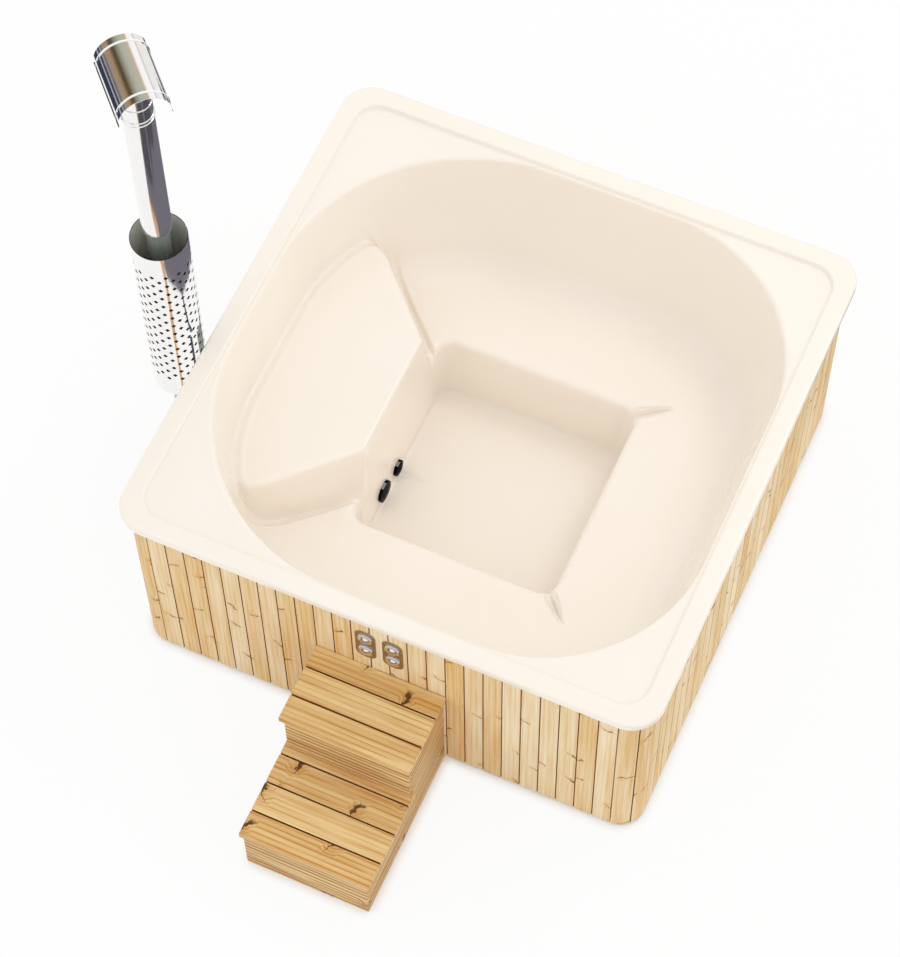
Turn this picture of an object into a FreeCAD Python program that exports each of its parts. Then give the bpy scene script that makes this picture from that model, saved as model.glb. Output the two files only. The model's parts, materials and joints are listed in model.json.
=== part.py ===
"""Square wood-fired hot tub: moulded shell, timber cladding, stove with chimney, controls and steps.

Millimetres. The origin is on the ground under the middle of the tub: +X to the right along the front,
+Y to the back, +Z up. The steps stand at the front and the chimney beside the left wall.
"""
import FreeCAD
import Part
import Sketcher
import math
import os
import re

V = FreeCAD.Vector

# Driving dimensions: alias, value, what it measures
DIMENSIONS = [
    ("tub_side", 2000, "outer side of the square rim"),
    ("rim_height", 930, "top of the rim above the ground"),
    ("rim_corner", 120, "outer corner radius of the rim"),
    ("lip_width", 75, "width of the raised lip round the rim"),
    ("lip_drop", 30, "height of the lip's outer skirt"),
    ("lip_round", 9, "rounding of the lip's edges"),
    ("deck_drop", 18, "step from the lip down to the corner decks"),
    ("deck_corner", 90, "corner radius of the sunk deck"),
    ("shell_wall", 8, "thickness of the moulded shell"),
    ("bowl_margin", 10, "strip of deck left at the middle of a side"),
    ("bowl_corner_left", 720, "corner radius of the bowl on the stove side"),
    ("bowl_corner_right", 600, "corner radius of the bowl on the other side"),
    ("bowl_inset_mid", 45, "how far the bowl wall comes in by the platform's height"),
    ("bowl_inset_bench", 120, "how far the bowl wall comes in by the bench's height"),
    ("bench_height", 390, "bench above the ground"),
    ("bench_cove", 60, "cove between bench and bowl wall"),
    ("floor_height", 100, "foot well floor above the ground"),
    ("floor_round", 35, "rounding at the foot of the well walls"),
    ("well_edge", 30, "rounding of the bench's inner edge"),
    ("well_left", 387, "left edge of the foot well at bench height"),
    ("well_right", 400, "right edge of the foot well at bench height"),
    ("well_half", 410, "half depth of the foot well at bench height"),
    ("well_corner", 60, "corner radius of the foot well"),
    ("floor_left", 376, "left edge of the foot well floor"),
    ("floor_right", 370, "right edge of the foot well floor"),
    ("floor_half", 371, "half depth of the foot well floor"),
    ("platform_height", 610, "top of the platform over the stove"),
    ("platform_front", 396, "front edge of the platform, left of the middle"),
    ("platform_half", 245, "half length of the platform's front edge"),
    ("platform_tip", 745, "where the platform's slanted edge meets the bowl, left of the middle"),
    ("platform_tip_side", 605, "where the platform's slanted edge meets the bowl, from the middle"),
    ("platform_foot_half", 307, "half length of the platform's front at bench height"),
    ("platform_foot", 647, "foot of the slanted side at the bowl, left of the middle"),
    ("platform_foot_side", 557, "foot of the slanted side at the bowl, from the middle"),
    ("platform_edge", 18, "rounding of the platform's edge"),
    ("platform_corner", 110, "rounding of the platform's front corners"),
    ("clad_inset", 29, "cladding face behind the rim's edge"),
    ("clad_corner", 95, "corner radius of the cladding"),
    ("board_count", 25, "straight boards on a side"),
    ("board_gap", 4, "gap between boards"),
    ("board_thickness", 18, "thickness of a cladding board"),
    ("tongue_reach", 6, "how far a board's tongue stands in the next board"),
    ("board_foot", 10, "bottom of the boards above the ground"),
    ("board_headroom", 4, "gap between the boards and the lip"),
    ("bearer_count", 7, "bearers under the tub"),
    ("bearer_width", 45, "width of a bearer"),
    ("rail_height", 70, "height of a rail behind the boards"),
    ("rail_thickness", 45, "thickness of a lower rail"),
    ("rail_clearance", 5, "gap between the upper rails and the bowl"),
    ("post_lap", 6, "how far a corner post runs in past the rounded corner"),
    ("prop_side", 45, "side of a bench prop"),
    ("prop_spread", 200, "right bench props from the middle"),
    ("jacket_half", 180, "half width of the stove's water jacket"),
    ("jacket_depth", 335, "depth of the water jacket"),
    ("jacket_height", 468, "height of the water jacket"),
    ("jacket_wall", 3, "sheet of the water jacket"),
    ("jacket_gap", 8, "gap between jacket and cladding"),
    ("pipe_reach", 6, "how far the feed pipe stands into the jacket"),
    ("firebox_half", 150, "half width of the firebox"),
    ("firebox_height", 250, "height of the firebox"),
    ("firebox_depth", 535, "length of the firebox"),
    ("firebox_nose", 214, "how far the firebox stands out of the cladding"),
    ("firebox_lift", 8, "firebox above the bearers"),
    ("firebox_wall", 4, "sheet of the firebox"),
    ("surround_wall", 3, "sheet of the surround plate"),
    ("surround_lap", 15, "lap of the surround plate on the boards"),
    ("surround_headroom", 20, "opening above the firebox"),
    ("door_height", 170, "height of the stove door"),
    ("door_half", 135, "half width of the stove door"),
    ("door_wall", 8, "thickness of the stove door"),
    ("door_gap", 2, "gap behind the closed door"),
    ("door_lap", 16, "lap of the door on the firebox front"),
    ("hinge_reach", 14, "hinge pin from the door's edge"),
    ("pin_radius", 3, "radius of a hinge pin"),
    ("hinge_eye", 18, "height of a hinge eye"),
    ("running_gap", 0.3, "clearance of parts that slide or turn"),
    ("drawer_height", 50, "height of the ash drawer"),
    ("drawer_half", 118, "half width of the ash drawer"),
    ("drawer_depth", 420, "length of the ash drawer"),
    ("drawer_wall", 2, "sheet of the ash drawer"),
    ("grate_thickness", 10, "thickness of the fire grate"),
    ("grate_depth", 400, "length of the fire grate"),
    ("grate_slot", 12, "width of a slot in the grate"),
    ("grate_slots", 7, "slots in the grate"),
    ("ledge_width", 14, "ledges under the grate"),
    ("ledge_height", 8, "height of a ledge"),
    ("foot_radius", 15, "radius of a stove foot"),
    ("foot_plate", 30, "radius of a stove foot's plate"),
    ("foot_base", 8, "thickness of a stove foot's plate"),
    ("foot_inset", 40, "stove feet from the firebox's edges"),
    ("handle_reach", 28, "stand-off of the door handle"),
    ("handle_length", 62, "length of the door handle"),
    ("handle_radius", 7, "radius of the door handle's grip"),
    ("handle_post", 4, "radius of the door handle's posts"),
    ("handle_inset", 21, "door handle from the door's edge"),
    ("flue_setback", 66, "flue axis behind the firebox front"),
    ("flue_lower", 40, "radius of the lower flue pipe"),
    ("flue_upper", 52, "radius of the upper flue pipe"),
    ("flue_wall", 1.5, "sheet of the flue pipes"),
    ("flue_lap", 74, "how far the lower pipe stands into the upper one"),
    ("flue_reducer", 40, "height of the reducer between the pipes"),
    ("flue_length", 746, "length of the upper pipe"),
    ("flue_lift", 67, "upper pipe above the heat guard"),
    ("flue_bead", 2.5, "radius of a bead on pipe and cowl"),
    ("bead_top", 30, "single bead below the top of the upper pipe"),
    ("bead_pair", 94, "upper of the two lower beads below the pipe's top"),
    ("bead_pitch", 17, "distance between the two lower beads"),
    ("collar_height", 40, "height of the flue collar"),
    ("collar_wall", 6, "thickness of the flue collar"),
    ("collar_flange", 18, "how far the collar's flange stands out from the pipe"),
    ("guard_radius", 99, "radius of the perforated heat guard"),
    ("guard_wall", 1.2, "sheet of the heat guard"),
    ("guard_foot", 660, "bottom of the heat guard"),
    ("guard_length", 889, "length of the heat guard"),
    ("hole_columns", 26, "columns of holes round the guard"),
    ("hole_rows", 14, "holes in a full column"),
    ("hole_margin", 112, "plain band at each end of the guard"),
    ("hole_width", 18, "width of a lozenge hole"),
    ("hole_height", 20, "height of a lozenge hole"),
    ("bracket_height", 22, "height of a guard bracket"),
    ("bracket_wall", 3, "flat bar of a guard bracket"),
    ("bracket_inset", 220, "brackets from the guard's ends"),
    ("cowl_radius", 86, "radius of the half-round rain cowl"),
    ("cowl_length", 262, "length of the rain cowl"),
    ("cowl_skirt", 18, "straight sides below the half round"),
    ("cowl_wall", 1.5, "sheet of the rain cowl"),
    ("cowl_lift", 32, "cowl's hems above the upper pipe"),
    ("cowl_bead", 28, "beads from the cowl's ends"),
    ("cowl_turn", 45.6, "turn of the cowl's axis from the front"),
    ("strap_width", 26, "width of a cowl strap"),
    ("strap_wall", 2, "thickness of a cowl strap"),
    ("strap_grip", 24, "how far a strap runs down the pipe"),
    ("plate_width", 78, "width of a control plate"),
    ("plate_height", 195, "height of a control plate"),
    ("plate_corner", 34, "corner radius of a control plate"),
    ("plate_wall", 3, "thickness of a control plate"),
    ("plate_centre", 51, "control plate from the middle"),
    ("plate_drop", 239, "middle of the control plates below the rim"),
    ("button_spacing", 87, "distance between a plate's two buttons"),
    ("button_radius", 22, "radius of a push button"),
    ("button_dome", 9, "height of a button's dome"),
    ("button_travel", 4, "travel of a push button"),
    ("bezel_radius", 27.5, "radius of a button's bezel"),
    ("bezel_height", 7, "height of a button's bezel"),
    ("bezel_floor", 2, "floor of a button's bezel"),
    ("barrel_radius", 15, "radius of a button's threaded barrel"),
    ("barrel_length", 40, "length of the barrel behind the bezel"),
    ("stem_radius", 8, "radius of a button's stem"),
    ("stem_length", 34, "length of a button's stem"),
    ("nut_radius", 22, "radius of a barrel nut"),
    ("nut_height", 8, "height of a barrel nut"),
    ("suction_side", 158, "suction fitting in front of the middle"),
    ("suction_height", 162, "suction fitting above the ground"),
    ("suction_face", 44, "radius of the suction fitting's face"),
    ("suction_pipe", 25, "radius of the suction pipe"),
    ("drain_side", 39, "drain fitting in front of the middle"),
    ("drain_height", 143, "drain fitting above the ground"),
    ("drain_face", 32.5, "radius of the drain fitting's face"),
    ("drain_pipe", 16, "radius of the drain pipe"),
    ("fitting_rise", 12, "how far a fitting's face stands off the wall"),
    ("fitting_tail", 44, "length of a fitting's tail behind the wall"),
    ("fitting_slot", 5, "width of a slot in a fitting's face"),
    ("slot_pitch", 12, "distance between the slots in a fitting's face"),
    ("slot_end", 12, "closed rim beyond a slot's ends"),
    ("pipe_wall", 3, "wall of the water pipes"),
    ("pipe_clearance", 4.5, "room round the drain pipe in the surround"),
    ("backnut_rim", 9, "rim of a fitting's back nut"),
    ("backnut_height", 14, "height of a fitting's back nut"),
    ("valve_standoff", 45, "drain valve from the cladding's face"),
    ("valve_length", 62, "length of the drain valve"),
    ("valve_radius", 24, "radius of the drain valve"),
    ("socket_radius", 15.1, "radius of the valve's hose socket, at its thread's crests"),
    ("socket_depth", 18, "depth of the valve's hose socket"),
    ("lever_length", 95, "length of the drain lever"),
    ("lever_width", 18, "width of the drain lever"),
    ("lever_wall", 5, "thickness of the drain lever"),
    ("boss_side", 21, "side of the valve's square spindle boss"),
    ("boss_rise", 12, "how far the boss stands above the valve"),
    ("step_width", 471, "width of the step box"),
    ("rim_climb", 410, "climb from the upper step to the rim"),
    ("step_depth", 648, "step box from the cladding to the lower riser"),
    ("step_upper", 289, "upper riser from the cladding"),
    ("step_wall", 22, "thickness of the step's sides and risers"),
    ("tread_thickness", 28, "thickness of a tread board"),
    ("tread_lap", 12, "overhang of the treads at the sides"),
    ("tread_nose", 17, "overhang of the upper tread at the front"),
    ("tread_nose_low", 9, "overhang of the lower tread at the front"),
    ("tread_front", 98, "width of the front tread board"),
    ("tread_board", 112, "width of a tread board"),
    ("tread_gap", 4, "gap between tread boards"),
    ("cleat_height", 45, "height of a cleat under the treads"),
]
ALIASES = {row[0] for row in DIMENSIONS}

doc = FreeCAD.newDocument("hot_tub")
sheet = doc.addObject("Spreadsheet::Sheet", "sizes")
for row, (alias, number, note) in enumerate(DIMENSIONS, 1):
    sheet.set(f"A{row}", note)
    sheet.set(f"B{row}", str(number))
    sheet.setAlias(f"B{row}", alias)
doc.recompute()

# Places that several pieces share, as formulas of the driving dimensions
BEARER_TOP = "(floor_height - shell_wall)"
DECK = "(rim_height - deck_drop)"
DECK_UNDER = f"({DECK} - shell_wall)"
BENCH_UNDER = "(bench_height - shell_wall)"
BOWL = "(tub_side / 2 - lip_width - bowl_margin)"
BOWL_BENCH = f"({BOWL} - bowl_inset_bench)"
CLAD = "(tub_side / 2 - clad_inset)"
CLAD_IN = f"({CLAD} - board_thickness)"
STRAIGHT = f"({CLAD} - clad_corner)"
PITCH = f"(2 * {STRAIGHT} / board_count)"
BOARD_TOP = "(rim_height - shell_wall - board_headroom)"
POST_IN = f"({STRAIGHT} - post_lap)"
POST_OUT = f"({CLAD_IN} - running_gap)"
BEARER_END = f"({STRAIGHT} + (clad_corner - board_thickness) * sqrt(0.5) - board_gap)"
BEARER_STEP = f"((2 * {BEARER_END} - bearer_width) / (bearer_count - 1))"
STOVE = f"(-3.5 * {PITCH})"
GAP_FRONT = f"(-6.5 * {PITCH})"
GAP_BACK = f"(0.5 * {PITCH})"
FIREBOX_FOOT = f"({BEARER_TOP} + firebox_lift)"
FIREBOX_TOP = f"({FIREBOX_FOOT} + firebox_height)"
FIREBOX_FRONT = f"(-{CLAD} - firebox_nose)"
JACKET_LEFT = f"(-{CLAD_IN} + jacket_gap)"
GAP_TOP = f"({FIREBOX_TOP} + surround_headroom)"
DRAWER_FOOT = f"({FIREBOX_FOOT} + firebox_wall)"
LEDGE = f"({DRAWER_FOOT} + drawer_height + 2 * running_gap)"
GRATE = f"({LEDGE} + ledge_height)"
DOOR_FOOT = f"({GRATE} - door_lap + grate_thickness)"
DOOR_BACK = f"({FIREBOX_FRONT} - door_gap)"
HINGE_X = f"({DOOR_BACK} - door_wall / 2)"
HINGE_Y = f"({STOVE} - door_half - hinge_reach)"
HINGE_EYE = "(door_gap + door_wall / 2 - running_gap)"
FLUE_X = f"({FIREBOX_FRONT} + flue_setback)"
GUARD_TOP = "(guard_foot + guard_length)"
UPPER_FOOT = f"({GUARD_TOP} + flue_lift)"
LOWER_TOP = f"({UPPER_FOOT} + flue_lap)"
UPPER_TOP = f"({UPPER_FOOT} + flue_length)"
COWL_FOOT = f"({UPPER_TOP} + cowl_lift)"
WALL_LEAN = "atan((well_left - floor_left) / (bench_height - floor_height))"
STEP_FRONT = f"({CLAD} + step_depth)"
STEP_UPPER = f"({CLAD} + step_upper)"
FITTINGS = {"suction": "suction_pipe", "drain": "drain_pipe"}
WORD = re.compile(r"[a-z][a-z_]*")


def formula(text):
    """An expression with the sheet's name put before each alias."""
    return WORD.sub(lambda word: ("sizes." if word.group() in ALIASES else "") + word.group(), str(text))


def size(text):
    """The number that a formula gives for the sheet's present values."""
    return float(sheet.evalExpression(formula(text)))


def bind(item, prop, text):
    item.setExpression(prop, formula(text))


def place(item, x, y, z):
    """Bind an object's position to three formulas."""
    for axis, text in zip("xyz", (x, y, z)):
        bind(item, f"Placement.Base.{axis}", text)
    return item


def cuboid(name, x, y, z):
    """Box between pairs of formulas along each axis."""
    box = doc.addObject("Part::Box", name)
    for prop, (low, high) in zip(("Length", "Width", "Height"), (x, y, z)):
        bind(box, prop, f"({high}) - ({low})")
    return place(box, x[0], y[0], z[0])


TURN = {"x": (V(0, 1, 0), 90), "y": (V(1, 0, 0), -90), "z": (V(0, 0, 1), 0)}


def rod(name, axis, radius, low, high, centre):
    """Cylinder along an axis between two formulas; centre gives the other two coordinates in order."""
    cylinder = doc.addObject("Part::Cylinder", name)
    bind(cylinder, "Radius", radius)
    bind(cylinder, "Height", f"({high}) - ({low})")
    cylinder.Placement = FreeCAD.Placement(V(), FreeCAD.Rotation(*TURN[axis]))
    spot = list(centre)
    spot.insert("xyz".index(axis), low)
    return place(cylinder, *spot)


def cut(name, base, *tools):
    result = doc.addObject("Part::Cut", name)
    result.Base = base
    result.Tool = tools[0] if len(tools) == 1 else group(name + "_tools", tools)
    return result


def join(name, *items):
    result = doc.addObject("Part::MultiFuse", name)
    result.Shapes = list(items)
    result.Refine = True
    return result


def group(name, items):
    result = doc.addObject("Part::Compound", name)
    result.Links = list(items)
    return result


def tube(name, axis, radius, wall, low, high, centre):
    outside = rod(name + "_outside", axis, radius, low, high, centre)
    inside = rod(name + "_inside", axis, f"{radius} - {wall}", low, high, centre)
    return cut(name, outside, inside)


def new_body(name):
    return doc.addObject("PartDesign::Body", name)


def new_sketch(body, name, plane, level):
    """Sketch on one of the body's origin planes, moved along the plane's normal."""
    sketch = body.newObject("Sketcher::SketchObject", name)
    support = [item for item in body.Origin.OriginFeatures if item.Role == plane][0]
    sketch.AttachmentSupport = [(support, "")]
    sketch.MapMode = "FlatFace"
    bind(sketch, "AttachmentOffset.Base.z", level)
    return sketch


def measure(sketch, kind, geometry, corner, text):
    """Bind a point's signed distance from the sketch origin to a formula."""
    number = size(text)
    ends = (-1, 1, geometry, corner) if number >= 0 else (geometry, corner, -1, 1)
    index = sketch.addConstraint(Sketcher.Constraint(kind, *ends, abs(number)))
    bind(sketch, f"Constraints[{index}]", text if number >= 0 else f"-({text})")


def polygon(body, name, plane, level, points):
    """Closed outline of straight lines through points given as pairs of formulas."""
    sketch = new_sketch(body, name, plane, level)
    spots = [V(size(u), size(v), 0) for u, v in points]
    count = len(spots)
    for i in range(count):
        sketch.addGeometry(Part.LineSegment(spots[i], spots[(i + 1) % count]), False)
    for i in range(count):
        sketch.addConstraint(Sketcher.Constraint("Coincident", i, 2, (i + 1) % count, 1))
    for i, (u, v) in enumerate(points):
        measure(sketch, "DistanceX", i, 1, u)
        measure(sketch, "DistanceY", i, 1, v)
    return sketch


def rounded(body, name, plane, level, left, right, front, back, radii):
    """Four straight sides at distances from the origin; radii run from front right round to front left."""
    sketch = new_sketch(body, name, plane, level)
    x0, x1, y0, y1 = -size(left), size(right), -size(front), size(back)
    r = [size(text) for text in radii]
    ends = [(x0 + r[3], y0), (x1 - r[0], y0), (x1, y0 + r[0]), (x1, y1 - r[1]),
            (x1 - r[1], y1), (x0 + r[2], y1), (x0, y1 - r[2]), (x0, y0 + r[3])]
    centres = [(x1 - r[0], y0 + r[0]), (x1 - r[1], y1 - r[1]), (x0 + r[2], y1 - r[2]), (x0 + r[3], y0 + r[3])]
    for i in range(4):
        sketch.addGeometry(Part.LineSegment(V(*ends[2 * i], 0), V(*ends[2 * i + 1], 0)), False)
        circle = Part.Circle(V(*centres[i], 0), V(0, 0, 1), r[i])
        start = math.radians(90 * i - 90)
        sketch.addGeometry(Part.ArcOfCircle(circle, start, start + math.pi / 2), False)
    for i in range(8):
        sketch.addConstraint(Sketcher.Constraint("Tangent", i, 2, (i + 1) % 8, 1))
    for line, kind in ((0, "Horizontal"), (2, "Vertical"), (4, "Horizontal"), (6, "Vertical")):
        sketch.addConstraint(Sketcher.Constraint(kind, line))
    for i, text in enumerate(radii):
        index = sketch.addConstraint(Sketcher.Constraint("Radius", 2 * i + 1, r[i]))
        bind(sketch, f"Constraints[{index}]", text)
    measure(sketch, "DistanceY", 0, 1, f"-({front})")
    measure(sketch, "DistanceX", 2, 1, right)
    measure(sketch, "DistanceY", 4, 1, back)
    measure(sketch, "DistanceX", 6, 1, f"-({left})")
    return sketch


def pad(body, sketch, name, length, backwards=False):
    feature = body.newObject("PartDesign::Pad", name)
    feature.Profile = sketch
    bind(feature, "Length", length)
    feature.Reversed = backwards
    return feature


def loft(body, name, sketches):
    feature = body.newObject("PartDesign::AdditiveLoft", name)
    feature.Profile = sketches[0]
    feature.Sections = sketches[1:]
    feature.Ruled = True
    return feature


def fillet(body, name, radius, wanted):
    """Round the edges of the body's tip for which wanted(edge) is true."""
    doc.recompute()
    base = body.Tip
    edges = [f"Edge{i}" for i, edge in enumerate(base.Shape.Edges, 1) if wanted(edge)]
    feature = body.newObject("PartDesign::Fillet", name)
    feature.Base = (base, edges)
    bind(feature, "Radius", radius)
    return feature


def at_level(text, reach=None, beyond=None):
    """Chooser of the edges that lie at one height, inside or outside a reach from the middle."""
    height = size(text)

    def wanted(edge):
        box = edge.BoundBox
        if max(abs(box.ZMin - height), abs(box.ZMax - height)) > 0.01:
            return False
        far = max(abs(edge.CenterOfMass.x), abs(edge.CenterOfMass.y))
        return (reach is None or far < size(reach)) and (beyond is None or far > size(beyond))
    return wanted



def square(body, name, level, half, corner):
    return rounded(body, name, "XY_Plane", level, half, half, half, half, [corner] * 4)


def bowl(body, name, levels, grow):
    """Bowl as a ruled loft: the same outline stepping in from the deck to the bench, grown by a wall."""
    sections = []
    for i, (level, inset) in enumerate(levels):
        half = f"{BOWL} - {inset} + {grow}"
        right = f"bowl_corner_right - {inset} + {grow}"
        left = f"bowl_corner_left - {inset} + {grow}"
        radii = [right, right, left, left]
        sections.append(rounded(body, f"{name}_{i}", "XY_Plane", level, half, half, half, half, radii))
    return loft(body, name, sections)


def well(body, name, top, foot, grow):
    """Foot well as a ruled loft between its outline at bench height and its floor."""
    upper = rounded(body, name + "_top", "XY_Plane", top, f"well_left + {grow}", f"well_right + {grow}",
                    f"well_half + {grow}", f"well_half + {grow}", [f"well_corner + {grow}"] * 4)
    lower = rounded(body, name + "_foot", "XY_Plane", foot, f"floor_left + {grow}", f"floor_right + {grow}",
                    f"floor_half + {grow}", f"floor_half + {grow}", [f"well_corner + {grow}"] * 4)
    return loft(body, name, [upper, lower])


def platform(name, top, foot, shrink, edge, corner):
    """Block under the platform's skin, run out past the bowl wall on the stove side."""
    body = new_body(name)
    back = f"(-{BOWL} - lip_width)"
    run = "0.25"
    outlines = []
    for label, level, front, half, tip, side in (
            ("top", top, "platform_front", "platform_half", "platform_tip", "platform_tip_side"),
            ("foot", foot, "well_left", "platform_foot_half", "platform_foot", "platform_foot_side")):
        x = f"(-{front} - {shrink})"
        y = f"({half} - {shrink} * 0.4)"
        far_x = f"({x} - (1 + {run}) * ({tip} - {front}))"
        far_y = f"({y} + (1 + {run}) * ({side} - {half}))"
        outlines.append(polygon(body, f"{name}_{label}", "XY_Plane", level, [
            (x, f"-{y}"), (x, y), (far_x, far_y), (back, far_y), (back, f"-{far_y}"), (far_x, f"-{far_y}")]))
    loft(body, name + "_block", outlines)
    front_x = -size("platform_front") - 2 * size("shell_wall")
    top_z = size(top)
    fillet(body, name + "_corners", corner,
           lambda e: all(v.X > front_x for v in e.Vertexes) and abs(e.Vertexes[0].Z - e.Vertexes[1].Z) > 1)
    near = size(back) + 1
    fillet(body, name + "_edge", edge,
           lambda e: all(abs(v.Z - top_z) < 0.01 for v in e.Vertexes) and e.CenterOfMass.x > near
           and max(v.X for v in e.Vertexes) > -size("platform_tip"))
    return body


def make_shell():
    outside = new_body("shell_outside")
    rim = square(outside, "rim", "rim_height", "tub_side / 2", "rim_corner")
    pad(outside, rim, "rim_plate", "lip_drop", True)
    hollow = outside.newObject("PartDesign::Pocket", "rim_hollow")
    hollow.Profile = square(outside, "rim_under", "rim_height - lip_drop", "tub_side / 2 - shell_wall",
                            "rim_corner - shell_wall")
    bind(hollow, "Length", "lip_drop - shell_wall")
    hollow.Reversed = True
    pad(outside, square(outside, "deck", "rim_height - shell_wall", "tub_side / 2 - lip_width + shell_wall",
                        "deck_corner + shell_wall"), "deck_plate", "deck_drop", True)
    bowl(outside, "bowl_skin", [(DECK_UNDER, "0"), ("platform_height - shell_wall", "bowl_inset_mid"),
                                (BENCH_UNDER, "bowl_inset_bench")], "shell_wall")
    well(outside, "well_skin", BENCH_UNDER, BEARER_TOP, "shell_wall")
    fillet(outside, "well_skin_edge", "well_edge - shell_wall",
           at_level(BENCH_UNDER, f"{BOWL_BENCH} - bench_cove"))
    fillet(outside, "lip_edge", "lip_round", at_level("rim_height"))

    inside = new_body("shell_inside")
    pad(inside, square(inside, "recess", "rim_height", "tub_side / 2 - lip_width", "deck_corner"),
        "deck_recess", "deck_drop", True)
    bowl(inside, "bowl_space", [(DECK, "0"), ("platform_height", "bowl_inset_mid"),
                                ("bench_height", "bowl_inset_bench")], "0")
    well(inside, "well_space", "bench_height", "floor_height", "0")
    fillet(inside, "bench_cove_round", "bench_cove",
           at_level("bench_height", None, f"{BOWL_BENCH} - bench_cove"))
    fillet(inside, "floor_round_off", "floor_round", at_level("floor_height"))
    fillet(inside, "bench_edge", "well_edge", at_level("bench_height", f"{BOWL_BENCH} - bench_cove"))

    block = platform("platform_block", "platform_height", "bench_height", "0",
                     "platform_edge", "platform_corner")
    void = platform("platform_void", "platform_height - shell_wall", "0", "shell_wall",
                    "platform_edge - shell_wall", "platform_corner - shell_wall")
    water = cut("water_space", inside, block)
    skin = cut("shell_skin", outside, void)
    bare = cut("bare_shell", skin, water)
    holes = []
    for name, pipe in FITTINGS.items():
        holes.append(fitting_rod(f"{name}_hole", name, f"{pipe} + running_gap", "-fitting_tail",
                                 "fitting_rise"))
        holes.append(fitting_rod(f"{name}_recess", name, f"{name}_face + running_gap", "0", "floor_round"))
    return cut("tub_shell", bare, *holes)


def seat_fitting(item, name):
    """Stand a piece drawn along +Z on the leaning left wall of the foot well, at a fitting's place."""
    item.Placement = FreeCAD.Placement(V(), FreeCAD.Rotation(V(0, 1, 0), 90))
    bind(item, "Placement.Rotation.Angle", f"90 deg - {WALL_LEAN}")
    share = f"(({name}_height - floor_height) / (bench_height - floor_height))"
    return place(item, f"-floor_left - (well_left - floor_left) * {share}", f"-{name}_side", f"{name}_height")


def fitting_rod(label, name, radius, low, high):
    cylinder = doc.addObject("Part::Cylinder", label)
    bind(cylinder, "Radius", radius)
    bind(cylinder, "Height", f"({high}) - ({low})")
    holder = group(label + "_seat", [cylinder])
    bind(cylinder, "Placement.Base.z", low)
    return seat_fitting(holder, name)


def about(middle, half):
    return f"{middle} - {half}", f"{middle} + {half}"


def within(span, wall):
    """A span drawn in by a wall at both ends."""
    low, high = span
    return f"{low} + {wall}", f"{high} - {wall}"


def mirror_spans(span):
    """A span of formulas and its mirror image across the middle."""
    low, high = span
    return [(low, high), (f"-({high})", f"-({low})")]


def make_base_bearers():
    """Bearers from front to back; the outer two stop short of the corner staves."""
    bars = []
    count = int(size("bearer_count"))
    for i in range(count):
        reach = BEARER_END if i in (0, count - 1) else CLAD_IN
        middle = f"({i} * {BEARER_STEP} - {BEARER_END} + bearer_width / 2)"
        bars.append(cuboid(f"bearer_{i}", about(middle, "bearer_width / 2"), (f"-{reach}", reach),
                           ("0", BEARER_TOP)))
    return group("base_bearers", bars)


def make_rails_lower():
    level = (BEARER_TOP, f"{BEARER_TOP} + rail_height")
    across = (f"{CLAD_IN} - rail_thickness", CLAD_IN)
    run = (f"-{POST_IN}", POST_IN)
    back, front = mirror_spans(across)
    return group("rails_lower", [
        cuboid("rail_low_back", run, back, level),
        cuboid("rail_low_front", run, front, level),
        cuboid("rail_low_right", back, run, level),
        cuboid("rail_low_left_front", front, (run[0], GAP_FRONT), level),
        cuboid("rail_low_left_back", front, (GAP_BACK, run[1]), level)])


def make_rails_upper():
    level = (f"{DECK_UNDER} - rail_height", DECK_UNDER)
    run = (f"-{POST_IN}", POST_IN)
    back, front = mirror_spans((f"{BOWL} + shell_wall + rail_clearance", CLAD_IN))
    return group("rails_upper", [
        cuboid("rail_top_back", run, back, level),
        cuboid("rail_top_front", run, front, level),
        cuboid("rail_top_right", back, run, level),
        cuboid("rail_top_left", front, run, level)])


CORNERS = {"front_left": 180, "front_right": 270, "back_right": 0, "back_left": 90}


def corner_rod(name, corner, radius, low, high, start, sweep):
    """Slice of a cylinder about a rounded corner's upright axis, from an angle through a sweep in degrees."""
    side_x, side_y = ["-" if part in ("front", "left") else "" for part in reversed(corner.split("_"))]
    piece = rod(name, "z", radius, low, high, (f"{side_x}{STRAIGHT}", f"{side_y}{STRAIGHT}"))
    piece.Placement = FreeCAD.Placement(V(), FreeCAD.Rotation(V(0, 0, 1), 1))
    bind(piece, "Placement.Rotation.Angle", f"({CORNERS[corner]} + {start}) * 1 deg")
    bind(piece, "Angle", sweep)
    return piece


def make_corner_posts():
    """Square posts with the outer edge rounded, so that the corner staves lie on them."""
    posts = []
    for corner in CORNERS:
        signs = [part in ("front", "left") for part in corner.split("_")]
        y, x = [mirror_spans((POST_IN, POST_OUT))[sign] for sign in signs]
        near_y, near_x = [mirror_spans((POST_IN, STRAIGHT))[sign] for sign in signs]
        level = (BEARER_TOP, DECK_UNDER)
        round_edge = corner_rod(f"post_round_{corner}", corner, f"{POST_OUT} - {STRAIGHT}", *level, "0", "90")
        posts.append(join(f"post_{corner}", cuboid(f"post_x_{corner}", x, near_y, level),
                          cuboid(f"post_y_{corner}", near_x, y, level), round_edge))
    return group("corner_posts", posts)


def make_bench_props():
    bench = f"((well_half + {BOWL_BENCH}) / 2)"
    spots = [(BEARER_STEP, bench), (BEARER_STEP, f"-{bench}"), (f"-{BEARER_STEP}", bench),
             (f"-{BEARER_STEP}", f"-{bench}"), (f"2 * {BEARER_STEP}", "prop_spread"),
             (f"2 * {BEARER_STEP}", "-prop_spread")]
    half = "prop_side / 2"
    return group("bench_props", [cuboid(f"prop_{i}", (f"{x} - {half}", f"{x} + {half}"),
                                        (f"{y} - {half}", f"{y} + {half}"), (BEARER_TOP, BENCH_UNDER))
                                 for i, (x, y) in enumerate(spots)])


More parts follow.
